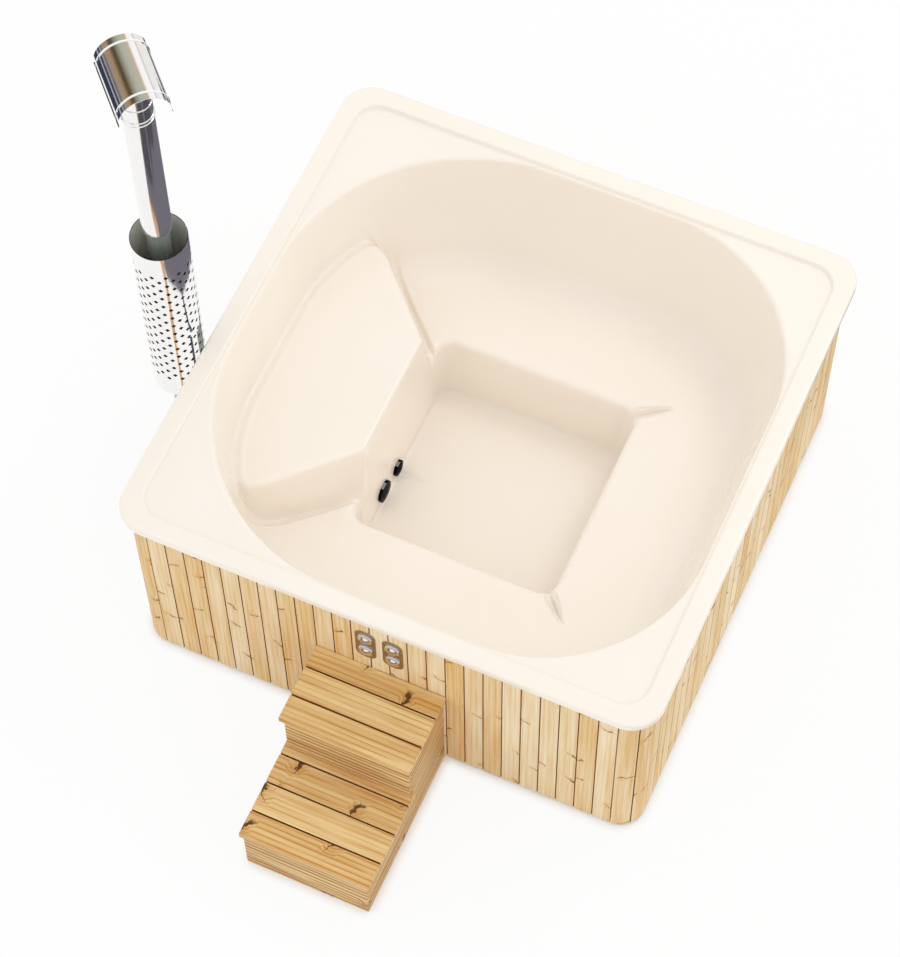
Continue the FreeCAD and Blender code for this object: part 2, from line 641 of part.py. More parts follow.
def board(name, foot, tongue=True):
    """Upright board with a groove along one edge and a tongue along the other, outer face at y = 0."""
    body = new_body(name)
    edge = f"(({PITCH} - board_gap) / 2)"
    third = "(board_thickness / 3)"
    slot = f"(tongue_reach + 2 * running_gap - {edge})"
    tip = f"({edge} + board_gap + tongue_reach)"
    outline = [(f"-{edge}", "0"), (edge, "0")]
    if tongue:
        outline += [(edge, third), (tip, third), (tip, f"2 * {third}"), (edge, f"2 * {third}")]
    outline += [(edge, "board_thickness"), (f"-{edge}", "board_thickness"),
                (f"-{edge}", f"2 * {third} + running_gap"), (slot, f"2 * {third} + running_gap"),
                (slot, f"{third} - running_gap"), (f"-{edge}", f"{third} - running_gap")]
    sketch = polygon(body, name + "_outline", "XY_Plane", foot, outline)
    pad(body, sketch, name + "_pad", f"{BOARD_TOP} - {foot}")
    return body


BOARDS = {"whole": board("whole_board", "board_foot"), "last": board("last_board", "board_foot", False),
          "raised": board("raised_board", GAP_TOP)}
WALLS = ("front", "right", "back", "left")


def boards(wall):
    """Upright boards along one wall; those over the stove start above its opening."""
    turn = WALLS.index(wall)
    count = int(size("board_count"))
    row = []
    for i in range(count):
        along = f"(({i} + 0.5) * {PITCH} - {STRAIGHT})"
        kind = "last" if i == count - 1 else "whole"
        if wall == "left" and size(GAP_FRONT) < -size(along) < size(GAP_BACK):
            kind = "raised"
        seat = group(f"{wall}_board_{i}", [BOARDS[kind]])
        seat.Placement = FreeCAD.Placement(V(), FreeCAD.Rotation(V(0, 0, 1), 90 * turn))
        x, y = ((along, f"-{CLAD}"), (CLAD, along), (f"-{along}", CLAD), (f"-{CLAD}", f"-{along}"))[turn]
        row.append(place(seat, x, y, "0"))
    return row


def make_cladding(wall):
    return group(f"cladding_{wall}", boards(wall))


def make_cladding_front():
    """Front boards, drilled for the barrels of the push buttons."""
    depth = (f"-{CLAD}", f"-{CLAD_IN}")
    holes = [rod(f"barrel_hole_{label}", "y", "barrel_radius + running_gap", *depth, (x, z))
             for label, x, z in button_spots()]
    return cut("cladding_front", group("front_boards", boards("front")), *holes)


def make_corner_staves(corner):
    """Two curved staves that carry the cladding round one corner."""
    lap = "(board_gap / clad_corner * 180 / pi / 2)"
    level = ("board_foot", BOARD_TOP)
    staves = []
    for i in range(2):
        spread = (f"(45 * {i} + {lap})", f"(45 - 2 * {lap})")
        outer = corner_rod(f"stave_{corner}_{i}_out", corner, "clad_corner", *level, *spread)
        inner = corner_rod(f"stave_{corner}_{i}_in", corner, "clad_corner - board_thickness", *level, *spread)
        staves.append(cut(f"stave_{corner}_{i}", outer, inner))
    return group(f"corner_staves_{corner}", staves)


def make_stove_jacket():
    x = (JACKET_LEFT, f"{JACKET_LEFT} + jacket_depth")
    y = about(STOVE, "jacket_half")
    z = (BEARER_TOP, f"{BEARER_TOP} + jacket_height")
    outside = cuboid("jacket_outside", x, y, z)
    inside = cuboid("jacket_inside", *[within(span, "jacket_wall") for span in (x, y, z)])
    mouth = cuboid("jacket_mouth", (x[0], f"{x[0]} + jacket_wall"), about(STOVE, "firebox_half"),
                   (FIREBOX_FOOT, FIREBOX_TOP))
    inlet = fitting_rod("jacket_inlet", "suction", "suction_pipe + pipe_wall", PIPE_END, "-fitting_tail")
    return cut("stove_jacket", outside, inside, mouth, inlet)


def make_firebox():
    x = (FIREBOX_FRONT, f"{FIREBOX_FRONT} + firebox_depth")
    y = about(STOVE, "firebox_half")
    z = (FIREBOX_FOOT, FIREBOX_TOP)
    front = (x[0], f"{x[0]} + firebox_wall")
    outside = cuboid("firebox_outside", x, y, z)
    inside = cuboid("firebox_inside", *[within(span, "firebox_wall") for span in (x, y, z)])
    doorway = cuboid("firebox_doorway", front, about(STOVE, "(door_half - door_lap)"),
                     (f"{DOOR_FOOT} + door_lap", f"{DOOR_FOOT} + door_height - door_lap"))
    slot = cuboid("firebox_drawer_slot", front, about(STOVE, "(drawer_half + running_gap)"),
                  (DRAWER_FOOT, LEDGE))
    flue = rod("firebox_flue", "z", "flue_lower - flue_wall", f"{FIREBOX_TOP} - firebox_wall", FIREBOX_TOP,
               (FLUE_X, STOVE))
    box = cut("firebox_box", outside, inside, doorway, slot, flue)
    inner = "(firebox_half - firebox_wall)"
    reach = (f"{x[0]} + firebox_wall", f"{x[1]} - firebox_wall")
    ledges = [cuboid(f"grate_ledge_{i}", reach, span, (LEDGE, GRATE)) for i, span in enumerate((
        (f"{STOVE} - {inner}", f"{STOVE} - {inner} + ledge_width"),
        (f"{STOVE} + {inner} - ledge_width", f"{STOVE} + {inner}")))]
    return join("firebox", box, *ledges)


def make_fire_grate():
    front = f"({FIREBOX_FRONT} + firebox_wall + door_lap)"
    x = (front, f"{front} + grate_depth")
    half = "(firebox_half - firebox_wall - running_gap)"
    plate = cuboid("grate_plate", x, about(STOVE, half), (GRATE, f"{GRATE} + grate_thickness"))
    room = f"(2 * ({half} - ledge_width))"
    slots = []
    for i in range(int(size("grate_slots"))):
        middle = f"({STOVE} + {room} * (({i} + 0.5) / grate_slots - 0.5))"
        slots.append(cuboid(f"grate_slot_{i}", (f"{x[0]} + ledge_width", f"{x[1]} - ledge_width"),
                            about(middle, "grate_slot / 2"), (GRATE, f"{GRATE} + grate_thickness")))
    return cut("fire_grate", plate, *slots)


def make_ash_drawer():
    x = (f"{DOOR_BACK}", f"{DOOR_BACK} + drawer_depth")
    z = (f"{DRAWER_FOOT} + running_gap", f"{DRAWER_FOOT} + drawer_height")
    tray = cuboid("drawer_tray", x, about(STOVE, "drawer_half"), z)
    space = cuboid("drawer_space", (f"{x[0]} + drawer_wall", f"{x[1]} - drawer_wall"),
                   about(STOVE, "(drawer_half - drawer_wall)"), (f"{z[0]} + drawer_wall", z[1]))
    front = cuboid("drawer_front", (f"{DOOR_BACK} - door_wall", DOOR_BACK), about(STOVE, "door_half"),
                   (FIREBOX_FOOT, f"{DOOR_FOOT} - door_gap"))
    pull = rod("drawer_pull", "x", "handle_radius", f"{DOOR_BACK} - door_wall - handle_reach",
               f"{DOOR_BACK} - door_wall", (STOVE, f"{FIREBOX_FOOT} + drawer_height / 2"))
    return join("ash_drawer", cut("drawer_box", tray, space), front, pull)


def hinge_levels():
    """Foot of each of the two door hinges."""
    return [f"({DOOR_FOOT} + hinge_eye)", f"({DOOR_FOOT} + door_height - 3 * hinge_eye)"]


def make_stove_door():
    leaf = cuboid("door_leaf", (f"{DOOR_BACK} - door_wall", DOOR_BACK), about(STOVE, "door_half"),
                  (DOOR_FOOT, f"{DOOR_FOOT} + door_height"))
    pieces = [leaf]
    bores = []
    for i, foot in enumerate(hinge_levels()):
        level = (f"{foot} + hinge_eye + running_gap", f"{foot} + 2 * hinge_eye")
        pieces.append(rod(f"door_eye_{i}", "z", HINGE_EYE, *level, (HINGE_X, HINGE_Y)))
        pieces.append(cuboid(f"door_tab_{i}", (f"{HINGE_X} - door_wall / 2", f"{HINGE_X} + door_wall / 2"),
                             (HINGE_Y, f"{STOVE} - door_half"), level))
        bores.append(rod(f"door_bore_{i}", "z", "pin_radius + running_gap", *level, (HINGE_X, HINGE_Y)))
    return cut("stove_door", join("door_solid", *pieces), *bores)


def make_hinge_lugs():
    """Fixed lugs with standing pins, over which the door's eyes drop."""
    lugs = []
    for i, foot in enumerate(hinge_levels()):
        level = (foot, f"{foot} + hinge_eye")
        eye = rod(f"lug_eye_{i}", "z", HINGE_EYE, *level, (HINGE_X, HINGE_Y))
        plate = cuboid(f"lug_plate_{i}", (HINGE_X, FIREBOX_FRONT), about(HINGE_Y, "pin_radius"), level)
        pin = rod(f"lug_pin_{i}", "z", "pin_radius", foot, f"{foot} + 2 * hinge_eye", (HINGE_X, HINGE_Y))
        lugs.append(join(f"hinge_lug_{i}", eye, plate, pin))
    return group("door_hinge_lugs", lugs)


def make_door_handle():
    face = f"({DOOR_BACK} - door_wall)"
    middle = f"({STOVE} + door_half - handle_inset)"
    foot = f"({DOOR_FOOT} + handle_radius)"
    grip_x = f"({face} - handle_reach + handle_radius)"
    grip = rod("handle_grip", "z", "handle_radius", foot, f"{foot} + handle_length", (grip_x, middle))
    posts = [rod(f"handle_post_{i}", "x", "handle_post", grip_x, face, (middle, f"{foot} + {rise}"))
             for i, rise in enumerate(("handle_radius", "handle_length - handle_radius"))]
    return join("door_handle", grip, *posts)


def make_stove_surround():
    plate = cuboid("surround_plate", (f"-{CLAD} - surround_wall", f"-{CLAD}"),
                   (f"{GAP_FRONT} - surround_lap", f"{GAP_BACK} + surround_lap"),
                   ("board_foot", f"{GAP_TOP} + surround_lap"))
    mouth = cuboid("surround_mouth", (f"-{CLAD} - surround_wall", f"-{CLAD}"), about(STOVE, "firebox_half"),
                   (FIREBOX_FOOT, FIREBOX_TOP))
    drain = fitting_rod("surround_drain", "drain", "drain_pipe + pipe_clearance", DRAIN_END, "-fitting_tail")
    return cut("stove_surround", plate, mouth, drain)


def make_stove_feet():
    x = f"({FIREBOX_FRONT} + foot_inset)"
    feet = []
    for i, y in enumerate((f"{STOVE} - firebox_half + foot_inset", f"{STOVE} + firebox_half - foot_inset")):
        stem = rod(f"foot_stem_{i}", "z", "foot_radius", "0", FIREBOX_FOOT, (x, y))
        pad_disc = rod(f"foot_disc_{i}", "z", "foot_plate", "0", "foot_base", (x, y))
        feet.append(join(f"stove_foot_{i}", stem, pad_disc))
    return group("stove_feet", feet)


FLUE = (FLUE_X, STOVE)


def make_flue_collar():
    top = f"{FIREBOX_TOP} + collar_height"
    sleeve = rod("collar_sleeve", "z", "flue_lower + collar_wall", FIREBOX_TOP, top, FLUE)
    flange = rod("collar_plate", "z", "flue_lower + collar_flange", FIREBOX_TOP,
                 f"{FIREBOX_TOP} + collar_wall", FLUE)
    bore = rod("collar_bore", "z", "flue_lower", FIREBOX_TOP, top, FLUE)
    return cut("flue_collar", join("collar_solid", sleeve, flange), bore)


def make_flue_pipe_lower():
    return tube("flue_pipe_lower", "z", "flue_lower", "flue_wall", FIREBOX_TOP, LOWER_TOP, FLUE)


def make_flue_reducer():
    return tube("flue_reducer", "z", "(flue_upper - flue_wall)", "(flue_upper - flue_wall - flue_lower)",
                f"{LOWER_TOP} - flue_reducer", LOWER_TOP, FLUE)


def make_flue_pipe_upper():
    outside = rod("upper_outside", "z", "flue_upper", UPPER_FOOT, UPPER_TOP, FLUE)
    beads = []
    for i, drop in enumerate(("bead_top", "bead_pair", "(bead_pair + bead_pitch)")):
        bead = doc.addObject("Part::Torus", f"upper_bead_{i}")
        bind(bead, "Radius1", "flue_upper")
        bind(bead, "Radius2", "flue_bead")
        beads.append(place(bead, FLUE_X, STOVE, f"{UPPER_TOP} - {drop}"))
    bore = rod("upper_bore", "z", "flue_upper - flue_wall", UPPER_FOOT, UPPER_TOP, FLUE)
    return cut("flue_pipe_upper", join("upper_solid", outside, *beads), bore)


def make_heat_guard():
    """Rolled sheet with staggered lozenge holes."""
    sheet_tube = tube("guard_tube", "z", "guard_radius", "guard_wall", "guard_foot", GUARD_TOP, FLUE)
    columns = int(size("hole_columns"))
    rows = int(size("hole_rows"))
    step = size("(guard_length - 2 * hole_margin) / (hole_rows - 1)")
    low = size("guard_foot + hole_margin")
    across = size("hole_width / 2")
    up = size("hole_height / 2")
    start = size("guard_radius - 4 * guard_wall")
    reach = size("8 * guard_wall")
    lozenge = Part.Face(Part.makePolygon([V(start, -across, 0), V(start, 0, up), V(start, across, 0),
                                          V(start, 0, -up), V(start, -across, 0)]))
    punch = lozenge.extrude(V(reach, 0, 0))
    punches = []
    for column in range(columns):
        odd = column % 2
        for row in range(rows - odd):
            hole = punch.copy()
            hole.rotate(V(), V(0, 0, 1), 360 * column / columns)
            hole.translate(V(size(FLUE_X), size(STOVE), low + step * (row + odd / 2)))
            punches.append(hole)
    tool = doc.addObject("Part::Feature", "guard_punches")
    tool.Shape = Part.makeCompound(punches)
    return cut("heat_guard", sheet_tube, tool)


def make_guard_brackets():
    """Two clamps on the lower pipe, each with three arms that hold the guard."""
    brackets = []
    for i, foot in enumerate(("guard_foot + bracket_inset", f"{GUARD_TOP} - bracket_inset")):
        level = (foot, f"{foot} + bracket_height")
        ring = rod(f"bracket_ring_{i}", "z", "flue_lower + bracket_wall", *level, FLUE)
        arms = []
        for j in range(3):
            arm = cuboid(f"bracket_arm_{i}{j}", ("0", "guard_radius - guard_wall"),
                         about("0", "bracket_wall / 2"), ("0", "bracket_height"))
            holder = group(f"bracket_arm_seat_{i}{j}", [arm])
            holder.Placement = FreeCAD.Placement(V(), FreeCAD.Rotation(V(0, 0, 1), 120 * j + 30))
            arms.append(place(holder, FLUE_X, STOVE, foot))
        bore = rod(f"bracket_bore_{i}", "z", "flue_lower", *level, FLUE)
        brackets.append(cut(f"guard_bracket_{i}", join(f"bracket_solid_{i}", ring, *arms), bore))
    return group("guard_brackets", brackets)


def turn_cowl(item):
    """Stand a piece drawn about the flue axis at the height of the cowl's hems, turned with the cowl."""
    item.Placement = FreeCAD.Placement(V(), FreeCAD.Rotation(V(0, 0, 1), -1))
    bind(item, "Placement.Rotation.Angle", "-cowl_turn * 1 deg")
    return place(item, FLUE_X, STOVE, COWL_FOOT)


def arch(name, radius, run):
    """Upright arch with straight sides: a half round above a box, along local X."""
    low, high = run
    top = rod(name + "_round", "x", radius, low, high, ("0", "cowl_skirt"))
    sides = cuboid(name + "_sides", run, about("0", radius), ("0", "cowl_skirt"))
    lower = cuboid(name + "_lower", run, about("0", radius), ("cowl_skirt - 2 * cowl_radius", "0"))
    return cut(name, join(name + "_solid", top, sides), lower)


def make_cowl_cap():
    half = "cowl_length / 2"
    ends = (f"-{half}", half)
    solid = [arch("cowl_arch", "cowl_radius", ends)]
    for i, middle in enumerate((f"cowl_bead - {half}", f"{half} - cowl_bead")):
        solid.append(arch(f"cowl_bead_{i}", "(cowl_radius + flue_bead)", about(middle, "flue_bead")))
    for i, side in enumerate(("cowl_radius", "-cowl_radius")):
        solid.append(rod(f"cowl_hem_{i}", "x", "flue_bead", *ends, (side, "flue_bead")))
    space = arch("cowl_space", "(cowl_radius - cowl_wall)", ends)
    clear = cuboid("cowl_clear", ends, about("0", "(cowl_radius - cowl_wall)"), ("-flue_bead", "cowl_skirt"))
    return turn_cowl(cut("cowl_cap", join("cowl_solid", *solid), space, clear))


def make_cowl_straps():
    """Two cranked straps from the pipe's top to the cowl's sides."""
    straps = []
    side = "(cowl_radius - cowl_wall)"
    for i, sign in enumerate(("", "-")):
        body = new_body(f"cowl_strap_{i}")
        pipe = f"{sign}flue_upper"
        pipe_face = f"{sign}(flue_upper + strap_wall)"
        rise = "(strap_wall - cowl_lift)"
        foot = "(-cowl_lift - strap_grip)"
        outline = polygon(body, f"strap_outline_{i}", "YZ_Plane", "-strap_width / 2", [
            (pipe, foot), (pipe_face, foot), (pipe_face, "-cowl_lift"), (f"{sign}{side}", "-strap_wall"),
            (f"{sign}{side}", "cowl_skirt"),
            (f"{sign}({side} - strap_wall)", "cowl_skirt"), (f"{sign}({side} - strap_wall)", "0"),
            (pipe, rise)])
        pad(body, outline, f"strap_pad_{i}", "strap_width")
        straps.append(body)
    ring = rod("strap_ring", "z", "flue_upper", "-cowl_lift - strap_grip", "0", ("0", "0"))
    return turn_cowl(cut("cowl_straps", group("strap_pair", straps), ring))


BEZEL = f"(-{CLAD} - plate_wall)"
PLATE_MIDDLE = "(rim_height - plate_drop)"


def button_spots():
    """Label, place along the front and height of each push button."""
    spots = []
    for side, x in (("left", "-plate_centre"), ("right", "plate_centre")):
        for row, sign in (("upper", "+"), ("lower", "-")):
            z = f"{PLATE_MIDDLE} {sign} button_spacing / 2"
            spots.append((f"{side}_{row}", x, z))
    return spots


def make_control_plate(side):
    body = new_body(f"plate_{side}")
    sign = "-" if side == "left" else ""
    half = "plate_width / 2"
    tall = "plate_height / 2"
    outline = rounded(body, f"plate_outline_{side}", "XZ_Plane", "0", half, half, tall, tall,
                      ["plate_corner"] * 4)
    pad(body, outline, f"plate_pad_{side}", "plate_wall")
    seat = group(f"plate_seat_{side}", [body])
    place(seat, f"{sign}plate_centre", f"-{CLAD}", PLATE_MIDDLE)
    holes = [rod(f"plate_hole_{label}", "y", "barrel_radius + running_gap", BEZEL, f"-{CLAD}", (x, z))
             for label, x, z in button_spots() if label.startswith(side)]
    return cut(f"control_plate_{side}", seat, *holes)


def make_button_housings():
    """Chrome bezels with threaded barrels through plate and board."""
    housings = []
    for label, x, z in button_spots():
        bezel = rod(f"bezel_{label}", "y", "bezel_radius", f"{BEZEL} - bezel_height", BEZEL, (x, z))
        barrel = rod(f"barrel_{label}", "y", "barrel_radius", BEZEL, f"{BEZEL} + barrel_length", (x, z))
        cup = rod(f"cup_{label}", "y", "button_radius + running_gap", f"{BEZEL} - bezel_height",
                  f"{BEZEL} - bezel_floor", (x, z))
        bore = rod(f"stem_bore_{label}", "y", "stem_radius + running_gap", f"{BEZEL} - bezel_floor",
                   f"{BEZEL} + barrel_length", (x, z))
        housings.append(cut(f"housing_{label}", join(f"housing_solid_{label}", bezel, barrel), cup, bore))
    return group("button_housings", housings)


def make_button_nuts():
    nuts = [tube(f"nut_{label}", "y", "nut_radius", "(nut_radius - barrel_radius)", f"-{CLAD_IN}",
                 f"-{CLAD_IN} + nut_height", (x, z)) for label, x, z in button_spots()]
    return group("button_nuts", nuts)


def make_button(label, x, z):
    """Domed push button on a stem, turned about its own axis."""
    body = new_body(f"turned_button_{label}")
    back = "(bezel_floor + button_travel + running_gap)"
    rim = "bezel_height"
    tip = "(stem_length - bezel_floor)"
    dome = "(bezel_height + button_dome)"
    sketch = new_sketch(body, f"button_profile_{label}", "XY_Plane", "0")
    r, neck = size("button_radius"), size("stem_radius")
    low, edge, top, end = size(back), size(rim), size(dome), -size(tip)
    height = top - edge
    ball = (r * r + height * height) / (2 * height)
    side = V(r, edge, 0)
    crown = V(0, top, 0)
    middle_angle = (math.pi / 2 + math.atan2(edge - top + ball, r)) / 2
    middle = V(ball * math.cos(middle_angle), top - ball + ball * math.sin(middle_angle), 0)
    path = [V(0, end, 0), V(neck, end, 0), V(neck, low, 0), V(r, low, 0), side]
    for first, second in zip(path, path[1:]):
        sketch.addGeometry(Part.LineSegment(first, second), False)
    sketch.addGeometry(Part.Arc(side, middle, crown), False)
    sketch.addGeometry(Part.LineSegment(crown, V(0, end, 0)), False)
    arc_start, arc_end = (1, 2) if sketch.Geometry[4].StartPoint.isEqual(side, 0.01) else (2, 1)
    for joint in ((0, 2, 1, 1), (1, 2, 2, 1), (2, 2, 3, 1), (3, 2, 4, arc_start), (4, arc_end, 5, 1),
                  (5, 2, 0, 1)):
        sketch.addConstraint(Sketcher.Constraint("Coincident", *joint))
    for line, kind in ((0, "Horizontal"), (1, "Vertical"), (2, "Horizontal"), (3, "Vertical")):
        sketch.addConstraint(Sketcher.Constraint(kind, line))
    sketch.addConstraint(Sketcher.Constraint("PointOnObject", 5, 1, -2))
    sketch.addConstraint(Sketcher.Constraint("PointOnObject", 5, 2, -2))
    sketch.addConstraint(Sketcher.Constraint("PointOnObject", 4, 3, -2))
    measure(sketch, "DistanceX", 1, 1, "stem_radius")
    measure(sketch, "DistanceX", 3, 1, "button_radius")
    measure(sketch, "DistanceY", 0, 1, f"-{tip}")
    measure(sketch, "DistanceY", 2, 1, back)
    measure(sketch, "DistanceY", 3, 2, rim)
    measure(sketch, "DistanceY", 5, 1, dome)
    turned = body.newObject("PartDesign::Revolution", f"button_turn_{label}")
    turned.Profile = sketch
    turned.ReferenceAxis = (sketch, ["V_Axis"])
    turned.Angle = 360
    seat = group(f"button_{label}", [body])
    seat.Placement = FreeCAD.Placement(V(), FreeCAD.Rotation(V(0, 0, 1), 180))
    return place(seat, x, BEZEL, z)


PIPE_END = f"({JACKET_LEFT} + jacket_depth + well_left - jacket_wall - pipe_reach)"
DRAIN_END = f"(well_left - {CLAD} - valve_standoff)"


def make_fitting(name):
    """Round slotted face on the well wall, with a tail through the shell."""
    pipe = FITTINGS[name]
    face = fitting_rod(f"{name}_flange", name, f"{name}_face", "0", "fitting_rise")
    tail = fitting_rod(f"{name}_tail", name, pipe, "-fitting_tail", "fitting_rise / 2")
    bore = fitting_rod(f"{name}_bore", name, f"{pipe} - pipe_wall", "-fitting_tail", "fitting_rise / 2")
    slots = []
    for i in range(3):
        offset = f"({i - 1} * slot_pitch)"
        reach = f"(sqrt({name}_face ^ 2 - {offset} ^ 2) - slot_end)"
        slot = cuboid(f"{name}_slot_{i}", about(offset, "fitting_slot / 2"), about("0", reach),
                      ("fitting_rise / 2", "fitting_rise"))
        slots.append(seat_fitting(group(f"{name}_slot_seat_{i}", [slot]), name))
    solid = join(f"{name}_solid", face, tail)
    return cut(f"{name}_fitting", solid, bore, *slots)


def make_back_nuts():
    """Nuts that hold the fittings against the back of the well wall."""
    nuts = []
    for name, pipe in FITTINGS.items():
        high = "(-shell_wall - 2 * running_gap)"
        low = f"({high} - backnut_height)"
        outer = fitting_rod(f"{name}_nut_out", name, f"{pipe} + backnut_rim", low, high)
        inner = fitting_rod(f"{name}_nut_in", name, f"{pipe}", low, high)
        nuts.append(cut(f"{name}_nut", outer, inner))
    return group("fitting_nuts", nuts)


def make_pipe(label, name, end):
    """Water pipe that carries on from a fitting's tail."""
    pipe = FITTINGS[name]
    outer = fitting_rod(f"{label}_out", name, pipe, end, "-fitting_tail")
    inner = fitting_rod(f"{label}_in", name, f"{pipe} - pipe_wall", end, "-fitting_tail")
    return cut(label, outer, inner)


def make_drain_valve():
    """Ball valve on the end of the drain pipe, with a hose socket and its spindle boss on top."""
    low = f"({DRAIN_END} - valve_length)"
    body = fitting_rod("valve_body", "drain", "valve_radius", low, DRAIN_END)
    bore = fitting_rod("valve_bore", "drain", "drain_pipe - pipe_wall", low, DRAIN_END)
    boss = cuboid("valve_boss", ("-valve_radius - boss_rise", "0"), about("0", "boss_side / 2"),
                  about(f"({DRAIN_END} - valve_length / 2)", "boss_side / 2"))
    boss_seat = seat_fitting(group("valve_boss_seat", [boss]), "drain")
    socket = fitting_rod("valve_socket", "drain", "socket_radius", low, f"{low} + socket_depth")
    return cut("drain_valve", join("valve_solid", body, boss_seat), bore, socket)


def make_drain_lever():
    """Flat lever on the valve's boss, across the pipe when shut."""
    top = "(-valve_radius - boss_rise - running_gap)"
    axis = f"({DRAIN_END} - valve_length / 2)"
    blade = cuboid("lever_blade", (f"{top} - lever_wall", top), ("-lever_width / 2", "lever_length"),
                   about(axis, "lever_width / 2"))
    return seat_fitting(group("drain_lever", [blade]), "drain")


HALF_STEP = "(step_width / 2)"
STEP_RISE = "((rim_height - rim_climb) / 2)"
LOWER_TREAD = f"({STEP_RISE} - tread_thickness)"
UPPER_TREAD = f"(2 * {STEP_RISE} - tread_thickness)"


def make_step_side(side):
    """Stepped side panel, cut from boards laid flat."""
    body = new_body(f"step_side_{side}")
    back, corner, front = f"-{CLAD}", f"-{STEP_UPPER} + step_wall", f"-{STEP_FRONT} + step_wall"
    level = f"-{HALF_STEP}" if side == "left" else f"{HALF_STEP} - step_wall"
    outline = polygon(body, f"step_side_outline_{side}", "YZ_Plane", level, [
        (back, "0"), (front, "0"), (front, LOWER_TREAD), (corner, LOWER_TREAD), (corner, UPPER_TREAD),
        (back, UPPER_TREAD)])
    pad(body, outline, f"step_side_pad_{side}", "step_wall")
    return body


def make_step_riser_lower():
    return cuboid("step_riser_lower", about("0", HALF_STEP), (f"-{STEP_FRONT}", f"-{STEP_FRONT} + step_wall"),
                  ("0", LOWER_TREAD))


def make_step_riser_upper():
    return cuboid("step_riser_upper", about("0", HALF_STEP), (f"-{STEP_UPPER}", f"-{STEP_UPPER} + step_wall"),
                  (STEP_RISE, UPPER_TREAD))


def tread(name, nose, back, level):
    """Tread boards from the nosing back to where the tread ends, the last one cut to fit."""
    boards_made = []
    low = nose
    width = "tread_front"
    while size(back) - size(low) > size("tread_gap"):
        high = f"({low} + {width})"
        last = size(back) - size(high) < size("2 * tread_gap")
        boards_made.append(cuboid(f"{name}_{len(boards_made)}", about("0", f"({HALF_STEP} + tread_lap)"),
                                  (low, back if last else high), (level, f"{level} + tread_thickness")))
        if last:
            break
        low = f"({high} + tread_gap)"
        width = "tread_board"
    return group(name, boards_made)


def make_step_treads_lower():
    return tread("step_treads_lower", f"(-{STEP_FRONT} - tread_nose_low)", f"(-{STEP_UPPER} + step_wall)",
                 LOWER_TREAD)


def make_step_treads_upper():
    return tread("step_treads_upper", f"(-{STEP_UPPER} - tread_nose)", f"(-{CLAD})", UPPER_TREAD)


def make_step_cleats():
    """Battens screwed inside the sides, on which the treads lie."""
    cleats = []
    inner = f"({HALF_STEP} - step_wall)"
    middle = f"-{STEP_UPPER} + step_wall"
    for i, x in enumerate(mirror_spans((f"{inner} - step_wall", inner))):
        cleats.append(cuboid(f"cleat_low_{i}", x, (f"-{STEP_FRONT} + step_wall", middle),
                             (f"{LOWER_TREAD} - cleat_height", LOWER_TREAD)))
        cleats.append(cuboid(f"cleat_high_{i}", x, (middle, f"-{CLAD}"),
                             (f"{UPPER_TREAD} - cleat_height", UPPER_TREAD)))
    return group("step_cleats", cleats)


nodes = [make_shell(), make_base_bearers(), make_rails_lower(), make_rails_upper(), make_corner_posts(),
         make_bench_props(), make_cladding_front()]
nodes += [make_cladding(wall) for wall in WALLS[1:]]
nodes += [make_corner_staves(corner) for corner in CORNERS]
nodes += [make_stove_jacket(), make_firebox(), make_fire_grate(), make_ash_drawer(), make_stove_door(),
          make_hinge_lugs(), make_door_handle(), make_stove_surround(), make_stove_feet(), make_flue_collar(),
          make_flue_pipe_lower(), make_flue_reducer(), make_flue_pipe_upper(), make_heat_guard(),
          make_guard_brackets(), make_cowl_cap(), make_cowl_straps()]
nodes += [make_control_plate("left"), make_control_plate("right"), make_button_housings(), make_button_nuts()]
nodes += [make_button(*spot) for spot in button_spots()]
nodes += [make_fitting("suction"), make_fitting("drain"), make_back_nuts(),
          make_pipe("feed_pipe", "suction", PIPE_END), make_pipe("drain_pipe", "drain", DRAIN_END),
          make_drain_valve(), make_drain_lever()]
nodes += [make_step_side("left"), make_step_side("right"), make_step_riser_lower(), make_step_riser_upper(),
          make_step_treads_lower(), make_step_treads_upper(), make_step_cleats()]
doc.recompute()

for item in doc.Objects:
    if {"Invalid", "Error"} & set(item.State):
        raise RuntimeError(f"{item.Name} failed: {item.State}")
for node in nodes:
    if node.Shape.isNull() or not node.Shape.isValid() or not node.Shape.Solids:
        raise RuntimeError(f"{node.Label} has no valid solid")

os.makedirs("parts", exist_ok=True)
for node in nodes:
    node.Shape.exportStep(f"parts/{node.Label}.step")
    print(node.Label, len(node.Shape.Solids))
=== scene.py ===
"""Looks of the square wood-fired hot tub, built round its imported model.

Metres, in the model's own frame: steps to the front (-Y), stove and chimney to the left (-X), ground at zero.
"""

import functools
import json
import math
import random

import bmesh
import bpy
from mathutils import Matrix, Vector


